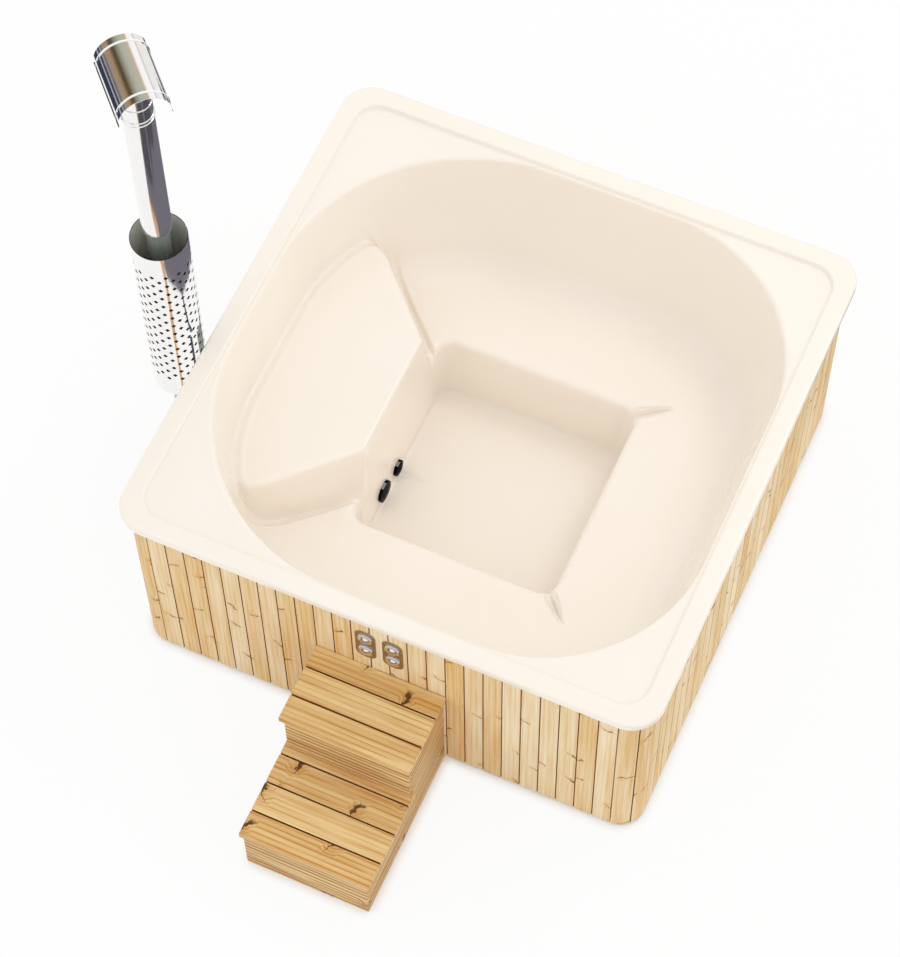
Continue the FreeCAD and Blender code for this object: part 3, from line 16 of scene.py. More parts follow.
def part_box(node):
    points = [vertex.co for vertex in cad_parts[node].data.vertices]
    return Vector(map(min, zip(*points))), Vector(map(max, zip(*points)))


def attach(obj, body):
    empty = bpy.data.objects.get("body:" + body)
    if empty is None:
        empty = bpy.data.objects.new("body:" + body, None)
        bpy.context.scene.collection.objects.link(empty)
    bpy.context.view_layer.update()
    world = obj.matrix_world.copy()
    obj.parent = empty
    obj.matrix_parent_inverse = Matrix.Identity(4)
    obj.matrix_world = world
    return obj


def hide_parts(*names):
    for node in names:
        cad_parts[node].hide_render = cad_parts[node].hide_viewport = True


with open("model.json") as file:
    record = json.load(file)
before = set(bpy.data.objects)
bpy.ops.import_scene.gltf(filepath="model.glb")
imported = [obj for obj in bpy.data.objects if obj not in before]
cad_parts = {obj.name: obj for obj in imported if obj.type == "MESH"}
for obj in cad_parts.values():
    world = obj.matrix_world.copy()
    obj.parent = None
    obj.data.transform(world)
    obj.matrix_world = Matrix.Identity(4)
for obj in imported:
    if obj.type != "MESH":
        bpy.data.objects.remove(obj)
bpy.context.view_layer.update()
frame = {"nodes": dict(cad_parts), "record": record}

MM = 0.001
SEED = 41


def linear(hex_colour):
    """An sRGB hex value as the linear colour that Blender's sockets take."""
    parts = [int(hex_colour[place:place + 2], 16) / 255 for place in (1, 3, 5)]
    return tuple(p / 12.92 if p <= 0.04045 else ((p + 0.055) / 1.055) ** 2.4 for p in parts) + (1.0,)


def add(tree, kind, values=None, **settings):
    """Adds a node: settings are its own options, values go to its sockets, as constants or as links."""
    node = tree.nodes.new(kind)
    for option, choice in settings.items():
        setattr(node, option, choice)
    for socket, value in (values or {}).items():
        if isinstance(value, bpy.types.NodeSocket):
            tree.links.new(value, node.inputs[socket])
        else:
            node.inputs[socket].default_value = value
    return node


def finish(name, **surface):
    """A new material with its surface shader; returns the material, its tree and the shader."""
    material = bpy.data.materials.new(name)
    material.use_nodes = True
    tree = material.node_tree
    shader = tree.nodes["Principled BSDF"]
    for socket, value in surface.items():
        shader.inputs[socket.replace("_", " ")].default_value = value
    return material, tree, shader


def bare(name):
    """A new material with nothing in its tree; returns the material and the tree."""
    material = bpy.data.materials.new(name)
    material.use_nodes = True
    material.node_tree.nodes.clear()
    return material, material.node_tree


# Between these a noise mostly runs.
NOISE_LOW, NOISE_HIGH = 0.3, 0.7
# Softwood: counts are to the metre across, through and along a board, reaches in metres, shares nought to one.
FIBRES = (420.0, 420.0, 5.0)
CLOUDS = (34.0, 34.0, 1.8)
PLAIN_PATCHES = (22.0, 22.0, 3.2)
RING_STRETCH = (1.0, 1.0, 0.05)
RING_WANDER = 6.0
LATE_WOOD = 4.0
FIBRE_SHARE, CLOUD_SHARE, PLAIN_SHARE = 0.3, 0.45, 0.15
FIBRE_RANGE, CLOUD_RANGE, PLAIN_RANGE = (0.35, 0.75), (0.32, 0.72), (0.36, 0.62)
GRAIN_RELIEF, GRAIN_DEPTH, GRAIN_GLOSS = 0.35, 0.25 * MM, (-0.06, 0.08)
JOINT_BROWN = "#a65f2c"
# A knot's outline wavers and its horn leans with its board's tone; its core is this share of its width.
WAVERS, WAVER_REACH = 30.0, (0.02, 0.0, 0.055)
KNOT_SHARE, KNOT_LEAN = 0.72, math.radians(48)
HORN_CORE, HORN_END, HORN_DEPTH = 0.6, 0.75, 0.92
# Round a knot: how many half lengths the darker wood reaches, its share, and how many rings wide the lines swerve.
HALO_REACH, HALO_SHARE, HALO_SWERVE = 1.5, 0.22, 1.6


def horn_knots(tree, grain, tone, cell, size):
    """Horn-shaped knots, where the saw went along a branch: how deep in a horn a point is, and how near to one.

    cell is the room for one knot along and across its horn in metres, size the horn's half length and half width.
    """
    waver = add(tree, "ShaderNodeTexNoise", {"Vector": grain, "Scale": WAVERS, "Detail": 2.0}).outputs["Color"]
    waver = add(tree, "ShaderNodeVectorMath", {0: waver, 1: (0.5, 0.5, 0.5)}, operation="SUBTRACT").outputs[0]
    waver = add(tree, "ShaderNodeVectorMath", {0: waver, 1: WAVER_REACH}, operation="MULTIPLY").outputs[0]
    astray = add(tree, "ShaderNodeVectorMath", {0: grain, 1: waver}, operation="ADD").outputs[0]
    lean = add(tree, "ShaderNodeMapRange", {0: tone, 3: -KNOT_LEAN, 4: KNOT_LEAN}).outputs[0]
    leaning = add(tree, "ShaderNodeVectorRotate", {"Vector": astray, "Angle": lean}, rotation_type="Y_AXIS")
    split = add(tree, "ShaderNodeSeparateXYZ", {0: leaning.outputs[0]})
    along_horn, across_horn = [
        add(tree, "ShaderNodeMath", {0: split.outputs[axis], 1: 1 / room}, operation="MULTIPLY").outputs[0]
        for axis, room in zip((0, 2), cell)]
    cells = add(tree, "ShaderNodeCombineXYZ", {0: along_horn, 1: across_horn}).outputs[0]
    knots = add(tree, "ShaderNodeTexVoronoi", {"Vector": cells, "Scale": 1.0}, voronoi_dimensions="2D")
    local = add(tree, "ShaderNodeVectorMath", {0: cells, 1: knots.outputs["Position"]}, operation="SUBTRACT")
    local = add(tree, "ShaderNodeSeparateXYZ", {0: local.outputs[0]})
    half_length, half_width = size[0] / cell[0], size[1] / cell[1]
    width = add(tree, "ShaderNodeMapRange",
                {0: local.outputs[0], 1: -half_length, 2: half_length, 3: 0.0, 4: half_width}).outputs[0]
    core = add(tree, "ShaderNodeMath", {0: width, 1: HORN_CORE}, operation="MULTIPLY").outputs[0]
    off_line = add(tree, "ShaderNodeMath", {0: local.outputs[1]}, operation="ABSOLUTE").outputs[0]
    horn = add(tree, "ShaderNodeMapRange", {0: off_line, 1: width, 2: core, 3: 0.0, 4: 1.0}).outputs[0]
    thick_end = add(tree, "ShaderNodeMapRange",
                    {0: local.outputs[0], 1: half_length, 2: half_length * HORN_END, 3: 0.0, 4: HORN_DEPTH})
    horn = add(tree, "ShaderNodeMath", {0: horn, 1: thick_end.outputs[0]}, operation="MULTIPLY").outputs[0]
    luck = add(tree, "ShaderNodeSeparateColor", {0: knots.outputs["Color"]}).outputs[0]
    present = add(tree, "ShaderNodeMath", {0: luck, 1: KNOT_SHARE}, operation="LESS_THAN").outputs[0]
    heart = add(tree, "ShaderNodeMath", {0: horn, 1: present}, operation="MULTIPLY").outputs[0]
    near = add(tree, "ShaderNodeMapRange",
               {0: knots.outputs["Distance"], 1: half_length * HALO_REACH, 2: 0.0, 3: 0.0, 4: 1.0},
               interpolation_type="SMOOTHSTEP").outputs[0]
    near = add(tree, "ShaderNodeMath", {0: near, 1: present}, operation="MULTIPLY").outputs[0]
    return heart, near


def timber(name, pale, deep, knot, ring, line_share, tone_share, knot_cell, knot_size, gloss):
    """Softwood boards: growth lines along the grain, fibre streaks, tone from board to board, horn-shaped knots.

    The mesh brings "grain", metres across, through and along each board, "tone", one value a board, and "joint",
    one where a face lies deep between two boards. ring is the width of a growth ring in metres.
    """
    material, tree, shader = finish(name, IOR=1.53, Specular_IOR_Level=0.25)
    grain = add(tree, "ShaderNodeAttribute", attribute_name="grain").outputs["Vector"]
    tone = add(tree, "ShaderNodeAttribute", attribute_name="tone").outputs["Fac"]
    joint = add(tree, "ShaderNodeAttribute", attribute_name="joint").outputs["Fac"]

    heart, near = horn_knots(tree, grain, tone, knot_cell, knot_size)
    halo = add(tree, "ShaderNodeMath", {0: near, 1: HALO_SHARE}, operation="MULTIPLY").outputs[0]
    swerve = add(tree, "ShaderNodeMath", {0: near, 1: ring * HALO_SWERVE}, operation="MULTIPLY").outputs[0]

    drawn = add(tree, "ShaderNodeVectorMath", {0: grain, 1: RING_STRETCH}, operation="MULTIPLY").outputs[0]
    shift = add(tree, "ShaderNodeCombineXYZ", {0: swerve}).outputs[0]
    bent = add(tree, "ShaderNodeVectorMath", {0: drawn, 1: shift}, operation="ADD").outputs[0]
    # At a scale of one, the bands of a wave texture lie tau / 20 apart.
    rings = add(tree, "ShaderNodeTexWave",
                {"Vector": bent, "Scale": math.tau / 20 / ring, "Distortion": RING_WANDER, "Detail": 2.0,
                 "Detail Scale": 0.35, "Detail Roughness": 0.6},
                wave_type="BANDS", bands_direction="X").outputs["Fac"]
    fibre, drift, plain = [
        add(tree, "ShaderNodeTexNoise",
            {"Vector": add(tree, "ShaderNodeVectorMath", {0: grain, 1: count}, operation="MULTIPLY").outputs[0],
             "Scale": 1.0, "Detail": detail}).outputs["Fac"]
        for count, detail in ((FIBRES, 3.0), (CLOUDS, 3.0), (PLAIN_PATCHES, 1.0))]

    late = add(tree, "ShaderNodeMath", {0: rings, 1: LATE_WOOD}, operation="POWER").outputs[0]
    marked, streak, patch = [
        add(tree, "ShaderNodeMapRange", {0: noise, 1: low, 2: high, 3: least, 4: most}).outputs[0]
        for noise, (low, high), least, most in ((plain, PLAIN_RANGE, line_share * PLAIN_SHARE, line_share),
                                                (fibre, FIBRE_RANGE, 0.0, FIBRE_SHARE),
                                                (drift, CLOUD_RANGE, 0.0, CLOUD_SHARE))]
    depth = add(tree, "ShaderNodeMath", {0: late, 1: marked}, operation="MULTIPLY").outputs[0]
    board = add(tree, "ShaderNodeMath", {0: tone, 1: tone_share}, operation="MULTIPLY").outputs[0]
    for part in (streak, patch, board, halo):
        depth = add(tree, "ShaderNodeMath", {0: depth, 1: part}, operation="ADD", use_clamp=True).outputs[0]
    wood = linear(pale)
    for share, colour in ((depth, deep), (heart, knot), (joint, JOINT_BROWN)):
        wood = add(tree, "ShaderNodeMix", {"Factor": share, 6: wood, 7: linear(colour)}, data_type="RGBA").outputs[2]
    tree.links.new(wood, shader.inputs["Base Color"])

    rough = add(tree, "ShaderNodeMapRange", {0: fibre, 1: NOISE_LOW, 2: NOISE_HIGH,
                                             3: gloss + GRAIN_GLOSS[0], 4: gloss + GRAIN_GLOSS[1]})
    tree.links.new(rough.outputs[0], shader.inputs["Roughness"])
    relief = add(tree, "ShaderNodeMath", {0: rings, 1: fibre}, operation="ADD").outputs[0]
    bump = add(tree, "ShaderNodeBump", {"Height": relief, "Strength": GRAIN_RELIEF, "Distance": GRAIN_DEPTH})
    tree.links.new(bump.outputs[0], shader.inputs["Normal"])
    return material


# Metal: streaks and waves to the metre along the sheet. Mouldings and paint: clouds of colour to the metre. Each
# with how far its gloss strays from the mean.
STREAK_RUN, STREAK_GLOSS = 6.0, (0.8, 1.25)
WAVES, WAVE_RELIEF, WAVE_DEPTH = 14.0, 0.05, 1.0 * MM
SKIN_CLOUDS, SKIN_RELIEF, SKIN_GLOSS = 2.5, 0.3, (0.9, 1.15)


def sheet_metal(name, bright, dull, roughness, streak_mm, **surface):
    """Rolled or drawn metal: a fine lengthwise streak in its gloss and a very slight wave in its flatness."""
    material, tree, shader = finish(name, **{"Metallic": 1.0, **surface})
    place = add(tree, "ShaderNodeTexCoord").outputs["Object"]
    across = 1 / (streak_mm * MM)
    run = add(tree, "ShaderNodeVectorMath", {0: place, 1: (across, across, STREAK_RUN)}, operation="MULTIPLY")
    rolled = add(tree, "ShaderNodeTexNoise", {"Vector": run.outputs[0], "Scale": 1.0, "Detail": 2.0}).outputs["Fac"]
    tint = add(tree, "ShaderNodeMix", {"Factor": rolled, 6: linear(bright), 7: linear(dull)}, data_type="RGBA")
    tree.links.new(tint.outputs[2], shader.inputs["Base Color"])
    rough = add(tree, "ShaderNodeMapRange", {0: rolled, 1: NOISE_LOW, 2: NOISE_HIGH,
                                             3: roughness * STREAK_GLOSS[0], 4: roughness * STREAK_GLOSS[1]})
    tree.links.new(rough.outputs[0], shader.inputs["Roughness"])
    waves = add(tree, "ShaderNodeTexNoise", {"Vector": place, "Scale": WAVES, "Detail": 1.0}).outputs["Fac"]
    bump = add(tree, "ShaderNodeBump", {"Height": waves, "Strength": WAVE_RELIEF, "Distance": WAVE_DEPTH})
    tree.links.new(bump.outputs[0], shader.inputs["Normal"])
    return material


def moulding(name, colour, shade, roughness, index, peel_mm, peel_depth_mm, **surface):
    """Moulded or painted skin: nearly one colour, with a slight cloud in it and a fine orange peel."""
    material, tree, shader = finish(name, IOR=index, **surface)
    place = add(tree, "ShaderNodeTexCoord").outputs["Object"]
    cloud = add(tree, "ShaderNodeTexNoise", {"Vector": place, "Scale": SKIN_CLOUDS, "Detail": 3.0}).outputs["Fac"]
    drift = add(tree, "ShaderNodeMapRange", {0: cloud, 1: NOISE_LOW, 2: NOISE_HIGH, 3: 0.0, 4: 1.0}).outputs[0]
    tint = add(tree, "ShaderNodeMix", {"Factor": drift, 6: linear(colour), 7: linear(shade)}, data_type="RGBA")
    tree.links.new(tint.outputs[2], shader.inputs["Base Color"])
    grit = 1 / (peel_mm * MM)
    peel = add(tree, "ShaderNodeTexNoise", {"Vector": place, "Scale": grit, "Detail": 1.0}).outputs["Fac"]
    rough = add(tree, "ShaderNodeMapRange", {0: peel, 1: NOISE_LOW, 2: NOISE_HIGH,
                                             3: roughness * SKIN_GLOSS[0], 4: roughness * SKIN_GLOSS[1]})
    tree.links.new(rough.outputs[0], shader.inputs["Roughness"])
    bump = add(tree, "ShaderNodeBump", {"Height": peel, "Strength": SKIN_RELIEF, "Distance": peel_depth_mm * MM})
    tree.links.new(bump.outputs[0], shader.inputs["Normal"])
    return material


# Vacuum-formed acrylic, backed with glass fibre: cream, smooth and softly glossy.
acrylic_formed = moulding("acrylic_vacuum_formed", "#fef6eb", "#fdf4e8", roughness=0.17, index=1.49,
                          peel_mm=16.0, peel_depth_mm=0.02)
# Planed spruce boards: pale straw yellow, thin ochre growth lines, small brown horn-shaped knots.
spruce_planed = timber("spruce_planed", "#fff4d6", "#e3b466", "#7a4a22", ring=0.019, line_share=0.3, tone_share=0.42,
                       knot_cell=(0.21, 0.13), knot_size=(0.03, 0.006), gloss=0.6)
# Oiled pine treads: golden, with broad growth lines and long dark horn-shaped knots.
pine_oiled = timber("pine_oiled", "#ffe8ae", "#cb9145", "#4e2c12", ring=0.02, line_share=0.5, tone_share=0.3,
                    knot_cell=(0.27, 0.15), knot_size=(0.052, 0.012), gloss=0.5)
# Oiled pine sawn through the edge, for risers and sides: close dark lines along the board.
pine_edge_sawn = timber("pine_edge_sawn", "#ffe3a4", "#a0642a", "#6d3f1a", ring=0.026, line_share=1.0,
                        tone_share=0.15, knot_cell=(0.3, 0.3), knot_size=(0.03, 0.006), gloss=0.55)
# Rough sawn spruce for the frame: greyer and duller, never planed.
spruce_sawn = timber("spruce_sawn", "#dcc08f", "#b1854a", "#6f431f", ring=0.012, line_share=0.4, tone_share=0.25,
                     knot_cell=(0.2, 0.2), knot_size=(0.03, 0.008), gloss=0.75)
# Bright rolled stainless sheet: a clear mirror with a fine lengthwise streak.
stainless_bright = sheet_metal("stainless_bright_rolled", "#fbfaf9", "#f1efed", roughness=0.1, streak_mm=1.2)
# The same sheet stained by smoke and heat, inside the guard and the upper pipe: a pale, slightly green film.
stainless_stained = sheet_metal("stainless_heat_stained", "#f4f1e8", "#cfcfc4", roughness=0.34, streak_mm=14.0,
                                Metallic=0.05)
# The pipe within the guard, blued by the heat: darker, with some of the mirror left.
stainless_blued = sheet_metal("stainless_heat_blued", "#a3ada5", "#7d8780", roughness=0.26, streak_mm=8.0,
                              Metallic=0.4)
# Pale matt white steel on the cowl's beads and cut ends, the guard's up-facing faces and the tops of the bezels: a
# painted highlight, a pale matt line where the sky would glint.
painted_highlight_white = sheet_metal("painted_highlight_white", "#ffffff", "#f6f6f4", roughness=0.5, streak_mm=3.0, Metallic=0.1)
# Flue soot on the inner walls of the pipes, and painted shade on the sleeve behind the guard's holes: black, and it
# hides all gloss.
soot_and_painted_shade = moulding("flue_soot_and_painted_shade_black", "#0d0c0b", "#171513", roughness=0.85, index=1.5, peel_mm=2.0, peel_depth_mm=0.2)
# Satin stainless for the control plates: a warm, blurred mirror.
stainless_satin = sheet_metal("stainless_satin", "#b5a799", "#a09384", roughness=0.22, streak_mm=1.0)
# Brushed stainless for the jacket and the surround: a duller, softer mirror.
stainless_brushed = sheet_metal("stainless_brushed", "#cfccc8", "#b4b0ab", roughness=0.32, streak_mm=0.8)
# Chromed brass for buttons, bezels, handles and the edges of the plates: a hard mirror.
chrome_plated = sheet_metal("chrome_plated", "#eceae8", "#e0ddda", roughness=0.06, streak_mm=2.0)
# Machined brass for the valve: yellow, with fine turning marks.
brass_machined = sheet_metal("brass_machined", "#d9b56a", "#b98f45", roughness=0.26, streak_mm=0.6)
# Heat-proof paint on welded plate: black, dull, with a fine grit.
steel_painted = moulding("steel_heatproof_paint", "#1d1c1b", "#272523", roughness=0.55, index=1.5,
                         peel_mm=1.4, peel_depth_mm=0.06)
# Cast iron: dark grey and grainy from the sand mould.
iron_cast = moulding("iron_sand_cast", "#2f2d2b", "#3c3835", roughness=0.7, index=1.5,
                     peel_mm=2.2, peel_depth_mm=0.25)
# Glossy moulded ABS for the faces of the fittings: black.
abs_moulded = moulding("abs_moulded_black", "#050506", "#0b0b0c", roughness=0.09, index=1.53,
                       peel_mm=3.0, peel_depth_mm=0.02, Specular_IOR_Level=0.03)
# Glass-filled nylon nuts: black and slightly dull.
nylon_moulded = moulding("nylon_moulded_black", "#18181a", "#222224", roughness=0.42, index=1.53,
                         peel_mm=1.6, peel_depth_mm=0.04)
# Extruded PVC for the pipes, and for the grey patch on the fittings' edges, a painted glint: mid grey, satin.
pvc_and_painted_glint = moulding("pvc_grey_and_painted_glint", "#8b8e91", "#7d8083", roughness=0.36, index=1.54,
                        peel_mm=5.0, peel_depth_mm=0.03)


# How near two points merge, how flat two faces join and how sharply a hard edge turns.
WELD, FLAT, CREASE = 0.005 * MM, math.radians(0.6), math.radians(32)
EDGE_STEPS, ROUND = 2, 0.5
# Joints between boards: their darkest depth and the plain strip outside. Boards are cut from one long log, in metres.
JOINT_DEPTH, JOINT_EDGE, END_FACING = 2.0 * MM, 2.5 * MM, 0.7
LOG_LENGTH = 40.0


def islands(work):
    """The separate solids of a mesh, each a list of its vertices, in the mesh's own order."""
    found = []
    seen = set()
    for start in work.verts:
        if start in seen:
            continue
        seen.add(start)
        reached = [start]
        for vertex in reached:
            for edge in vertex.link_edges:
                other = edge.other_vert(vertex)
                if other not in seen:
                    seen.add(other)
                    reached.append(other)
        found.append(reached)
    return found


def lay_grain(work, draw, depth):
    """Gives each solid its own place in the log, with the grain along its longest side, and marks the faces
    that lie deep between boards. depth says how far a point lies behind the boards' outer face.
    """
    grain = work.verts.layers.float_vector.new("grain")
    tone = work.verts.layers.float.new("tone")
    joint = work.loops.layers.float.new("joint")
    for solid in islands(work):
        low = [min(v.co[axis] for v in solid) for axis in range(3)]
        high = [max(v.co[axis] for v in solid) for axis in range(3)]
        order = sorted(range(3), key=lambda axis: high[axis] - low[axis])
        start = [draw.uniform(0.0, LOG_LENGTH) for axis in range(3)]
        shade = draw.random()
        for vertex in solid:
            local = [vertex.co[axis] - low[axis] for axis in range(3)]
            vertex[grain] = (start[0] + local[order[1]], start[1] + local[order[0]], start[2] + local[order[2]])
            vertex[tone] = shade
    low = [min(v.co[axis] for v in work.verts) + JOINT_EDGE for axis in range(3)]
    high = [max(v.co[axis] for v in work.verts) - JOINT_EDGE for axis in range(3)]
    for face in work.faces:
        middle = face.calc_center_median()
        inside = sum(low[axis] < middle[axis] < high[axis] for axis in range(3)) >= 2
        ends = any(abs(face.normal[axis]) > END_FACING and not low[axis] < middle[axis] < high[axis]
                   for axis in range(3))
        dark = min(depth(middle) / JOINT_DEPTH, 1.0) if inside and not ends else 0.0
        for loop in face.loops:
            loop[joint] = dark


def smooth(work):
    """Smooth faces, with the edges that turn sharply kept sharp."""
    for face in work.faces:
        face.smooth = True
    for edge in work.edges:
        edge.smooth = edge.calc_face_angle(math.pi) < CREASE


def stand(name, work, material):
    """Puts a finished mesh into the scene."""
    mesh = bpy.data.meshes.new(name)
    work.to_mesh(mesh)
    work.free()
    mesh.materials.append(material)
    thing = bpy.data.objects.new(name, mesh)
    bpy.context.scene.collection.objects.link(thing)
    return thing


def piece(name, work, material, body, nodes):
    """Puts a finished mesh into the scene as the piece that stands for these nodes."""
    smooth(work)
    thing = stand(name, work, material)
    even = thing.modifiers.new("even_normals", "WEIGHTED_NORMAL")
    even.keep_sharp = True
    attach(thing, body)
    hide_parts(*nodes)
    return thing


def worn(node, edge):
    """A node's own shape with its facets merged and its hard edges rounded by a real edge radius."""
    work = bmesh.new()
    work.from_mesh(frame["nodes"][node].data)
    bmesh.ops.remove_doubles(work, verts=work.verts, dist=WELD)
    bmesh.ops.dissolve_limit(work, angle_limit=FLAT, verts=work.verts, edges=work.edges)
    if edge:
        hard = [e for e in work.edges if len(e.link_faces) == 2 and e.calc_face_angle() > CREASE]
        bmesh.ops.bevel(work, geom=hard, offset=edge, segments=EDGE_STEPS, profile=ROUND, affect="EDGES")
    return work


def body_of(node):
    """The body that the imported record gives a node."""
    for body, nodes in frame["record"]["behaviour"]["bodies"].items():
        if node in nodes:
            return body
    return "tub"


# The moulded shell, in millimetres. An outline is (left, right, half depth, left corners, right corners).
FLOOR_LINE = (376.0, 370.0, 371.0, 60.0, 60.0)
WELL_LINE = (387.0, 400.0, 410.0, 60.0, 60.0)
BENCH_LINE = (795.0, 795.0, 795.0, 600.0, 480.0)
MID_LINE = (870.0, 870.0, 870.0, 675.0, 555.0)
BOWL_LINE = (915.0, 915.0, 915.0, 720.0, 600.0)
DECK_LINE = (925.0, 925.0, 925.0, 90.0, 90.0)
LIP_LINE = (931.0, 931.0, 931.0, 94.0, 94.0)
RIM_LINE = (1000.0, 1000.0, 1000.0, 120.0, 120.0)
FLOOR, BENCH, PLATFORM, DECK, RIM, SKIRT = 100.0, 390.0, 610.0, 912.0, 930.0, 900.0
# The platform's front face, the level where its cove meets the wall, and the ray where its front can first lie.
PLATFORM_FRONT, PLATFORM_WALL, FRONT_LEAST = 396.0, 760.0, 91.0
HUB = 0.2
SHELL_WALL = 8.0

# Rays from the middle outwards, in degrees: the bench's ridge, the foot of the platform's slanted side and
# its top edge are each one ray, which leaves the straight line at the bench's inner and outer edge.
RIDGE_RAY, FOOT_RAY, TOP_RAY = 134.0, 140.0, 146.0
INNER_TURN = [(0, 0), (120, 120), (RIDGE_RAY, 138.1), (FOOT_RAY, 141.6), (TOP_RAY, 148.3), (162, 162), (180, 180)]
OUTER_TURN = [(0, 0), (120, 120), (RIDGE_RAY, 137.4), (FOOT_RAY, 139.3), (TOP_RAY, 141.2), (162, 160), (180, 180)]
RAY_STEPS = [(0.0, 36.0, 0.9), (36.0, 54.0, 0.3), (54.0, 126.0, 0.9), (126.0, 154.0, 0.35), (154.0, 180.0, 0.9)]
# The trough beside the platform: its depth by the well and by the wall, and how much of its width is bank.
TROUGH_INNER, TROUGH_OUTER, TROUGH_BANK = 26.0, 15.0, 0.5
SIDE_EASE = 0.22
SEAT_SAG = 4.0
# The platform's raised border along the wall: height, distance from the cove and half width.
PAD_BORDER, PAD_INSET, PAD_WIDTH = 5.0, 18.0, 9.0
PAD_CROWDING = 1.7
# The platform's corner by the wall: where it starts along the side, how many rays it bends back, the foot's share.
CORNER_START, CORNER_BEND, FOOT_BEND = 0.84, 2.6, 0.3
# The rays along the slanted side are evened out this often, fully once they are EVEN_FADE inside the ends.
EVEN_PASSES, EVEN_FROM, EVEN_TO, EVEN_FADE = 6, FOOT_RAY - 2, TOP_RAY + 8, 4

# Soft corners: how far each rounding reaches from its corner, on the bench and on the platform, and at most which
# share of the run beside it. Points are on each rounding and each run; the third run is the bench or the platform.
ROUND_BENCH = [14.0, 34.0, 140.0, 110.0, 20.0, 7.0, 6.0, 10.0]
ROUND_PLATFORM = [14.0, 17.0, 16.0, 60.0, 20.0, 7.0, 6.0, 10.0]
ROUND_POINTS = [6, 8, 11, 5, 7, 4, 4, 6]
RUN_POINTS = [5, 6, 26, 4, 7, 5, 1, 4, 2]
ROUND_SHARE = 0.45
SEAT_RUN = 3

# Pinched folds of the sheet, from the well's right corners out over the bench: start, end, half width, depth.
PINCHES = [((352.0, 372.0), (508.0, 477.0), 15.0, 22.0), ((372.0, -380.0), (478.0, -490.0), 15.0, 22.0)]
GULLY = ((-392.0, -39.0), (-286.0, -30.0), 30.0, 7.5)
# A fold's width at its tip, its lips' height and its taper; how far from the bench and the floor folds reach.
FOLD_TIP, FOLD_LIP, FOLD_TAPER = 0.35, 0.45, 0.7
PINCH_BELOW, PINCH_ABOVE, GULLY_ABOVE = 60.0, 40.0, 25.0


def along(pairs, value):
    """Straight-line reading of a table of pairs."""
    for (low, first), (high, last) in zip(pairs, pairs[1:]):
        if value <= high:
            return first + (last - first) * (value - low) / (high - low)
    return pairs[-1][1]


def reach(outline, turn):
    """The point of a rounded outline in a direction from the middle, for the back half."""
    left, right, half, left_corner, right_corner = outline
    x, y = math.cos(math.radians(turn)), math.sin(math.radians(turn))
    corner = right_corner if x > 0 else left_corner
    edge = right if x > 0 else left
    if abs(x) * (half - corner) >= y * edge:
        return Vector((x, y)) * (edge / abs(x))
    if y * (edge - corner) >= abs(x) * half:
        return Vector((x, y)) * (half / y)
    middle = Vector((math.copysign(edge - corner, x), half - corner))
    ahead = x * middle.x + y * middle.y
    return Vector((x, y)) * (ahead + math.sqrt(corner ** 2 - middle.length_squared + ahead ** 2))


def ease(share):
    """From nought to one with rounded ends and a straight middle."""
    share = min(max(share, 0.0), 1.0)
    if share < SIDE_EASE:
        return share ** 2 / (2 * SIDE_EASE * (1 - SIDE_EASE))
    if share > 1 - SIDE_EASE:
        return 1 - (1 - share) ** 2 / (2 * SIDE_EASE * (1 - SIDE_EASE))
    return (share - SIDE_EASE / 2) / (1 - SIDE_EASE)


def soft(share):
    """Smooth step from nought to one."""
    share = min(max(share, 0.0), 1.0)
    return share * share * (3 - 2 * share)


def platform_rise(ray, out):
    """How far up the platform's slanted side a ray is; out runs from the well to the wall, where the side bends
    back and rounds the platform's corner.
    """
    bend = max((out - CORNER_START) / (1 - CORNER_START), 0.0) ** 2 * CORNER_BEND
    return ease((ray - FOOT_RAY - bend * FOOT_BEND) / (TOP_RAY - FOOT_RAY + bend * (1 - FOOT_BEND)))


def shell_corners(ray):
    """The corner points of the shell's section along one ray, and how much of the platform it is."""
    inner, outer = along(INNER_TURN, ray), along(OUTER_TURN, ray)
    upper = (outer + ray) / 2
    rise = platform_rise(ray, 0.0)
    wall_rise = platform_rise(ray, 1.0)
    trough = soft((ray - RIDGE_RAY) / (FOOT_RAY - RIDGE_RAY) / TROUGH_BANK)
    share = min(max((ray - FOOT_RAY) / (TOP_RAY - FOOT_RAY), 0.0), 1.0)

    front = Vector((-PLATFORM_FRONT, PLATFORM_FRONT * math.tan(math.radians(180 - max(inner, FRONT_LEAST)))))
    edge = reach(WELL_LINE, inner).lerp(front, share) if share else reach(WELL_LINE, inner)
    edge_level = (BENCH - TROUGH_INNER * trough) * (1 - rise) + PLATFORM * rise
    wall = reach(BENCH_LINE, outer).lerp(reach(MID_LINE, outer), wall_rise)
    wall_level = (BENCH - TROUGH_OUTER * trough) * (1 - wall_rise) + PLATFORM * wall_rise
    mid_level = PLATFORM + (PLATFORM_WALL - PLATFORM) * wall_rise
    mid = reach(MID_LINE, upper).lerp(reach(BOWL_LINE, upper), (mid_level - PLATFORM) / (DECK - PLATFORM))
    floor = reach(FLOOR_LINE, (ray + inner) / 2)
    plan = [floor * HUB, floor, edge, wall, mid, reach(BOWL_LINE, ray), reach(DECK_LINE, ray),
            reach(LIP_LINE, ray), reach(RIM_LINE, ray), reach(RIM_LINE, ray)]
    levels = [FLOOR, FLOOR, edge_level, wall_level, mid_level, DECK, DECK, RIM, RIM, SKIRT]
    return [Vector((spot.x, spot.y, level)) for spot, level in zip(plan, levels)], rise


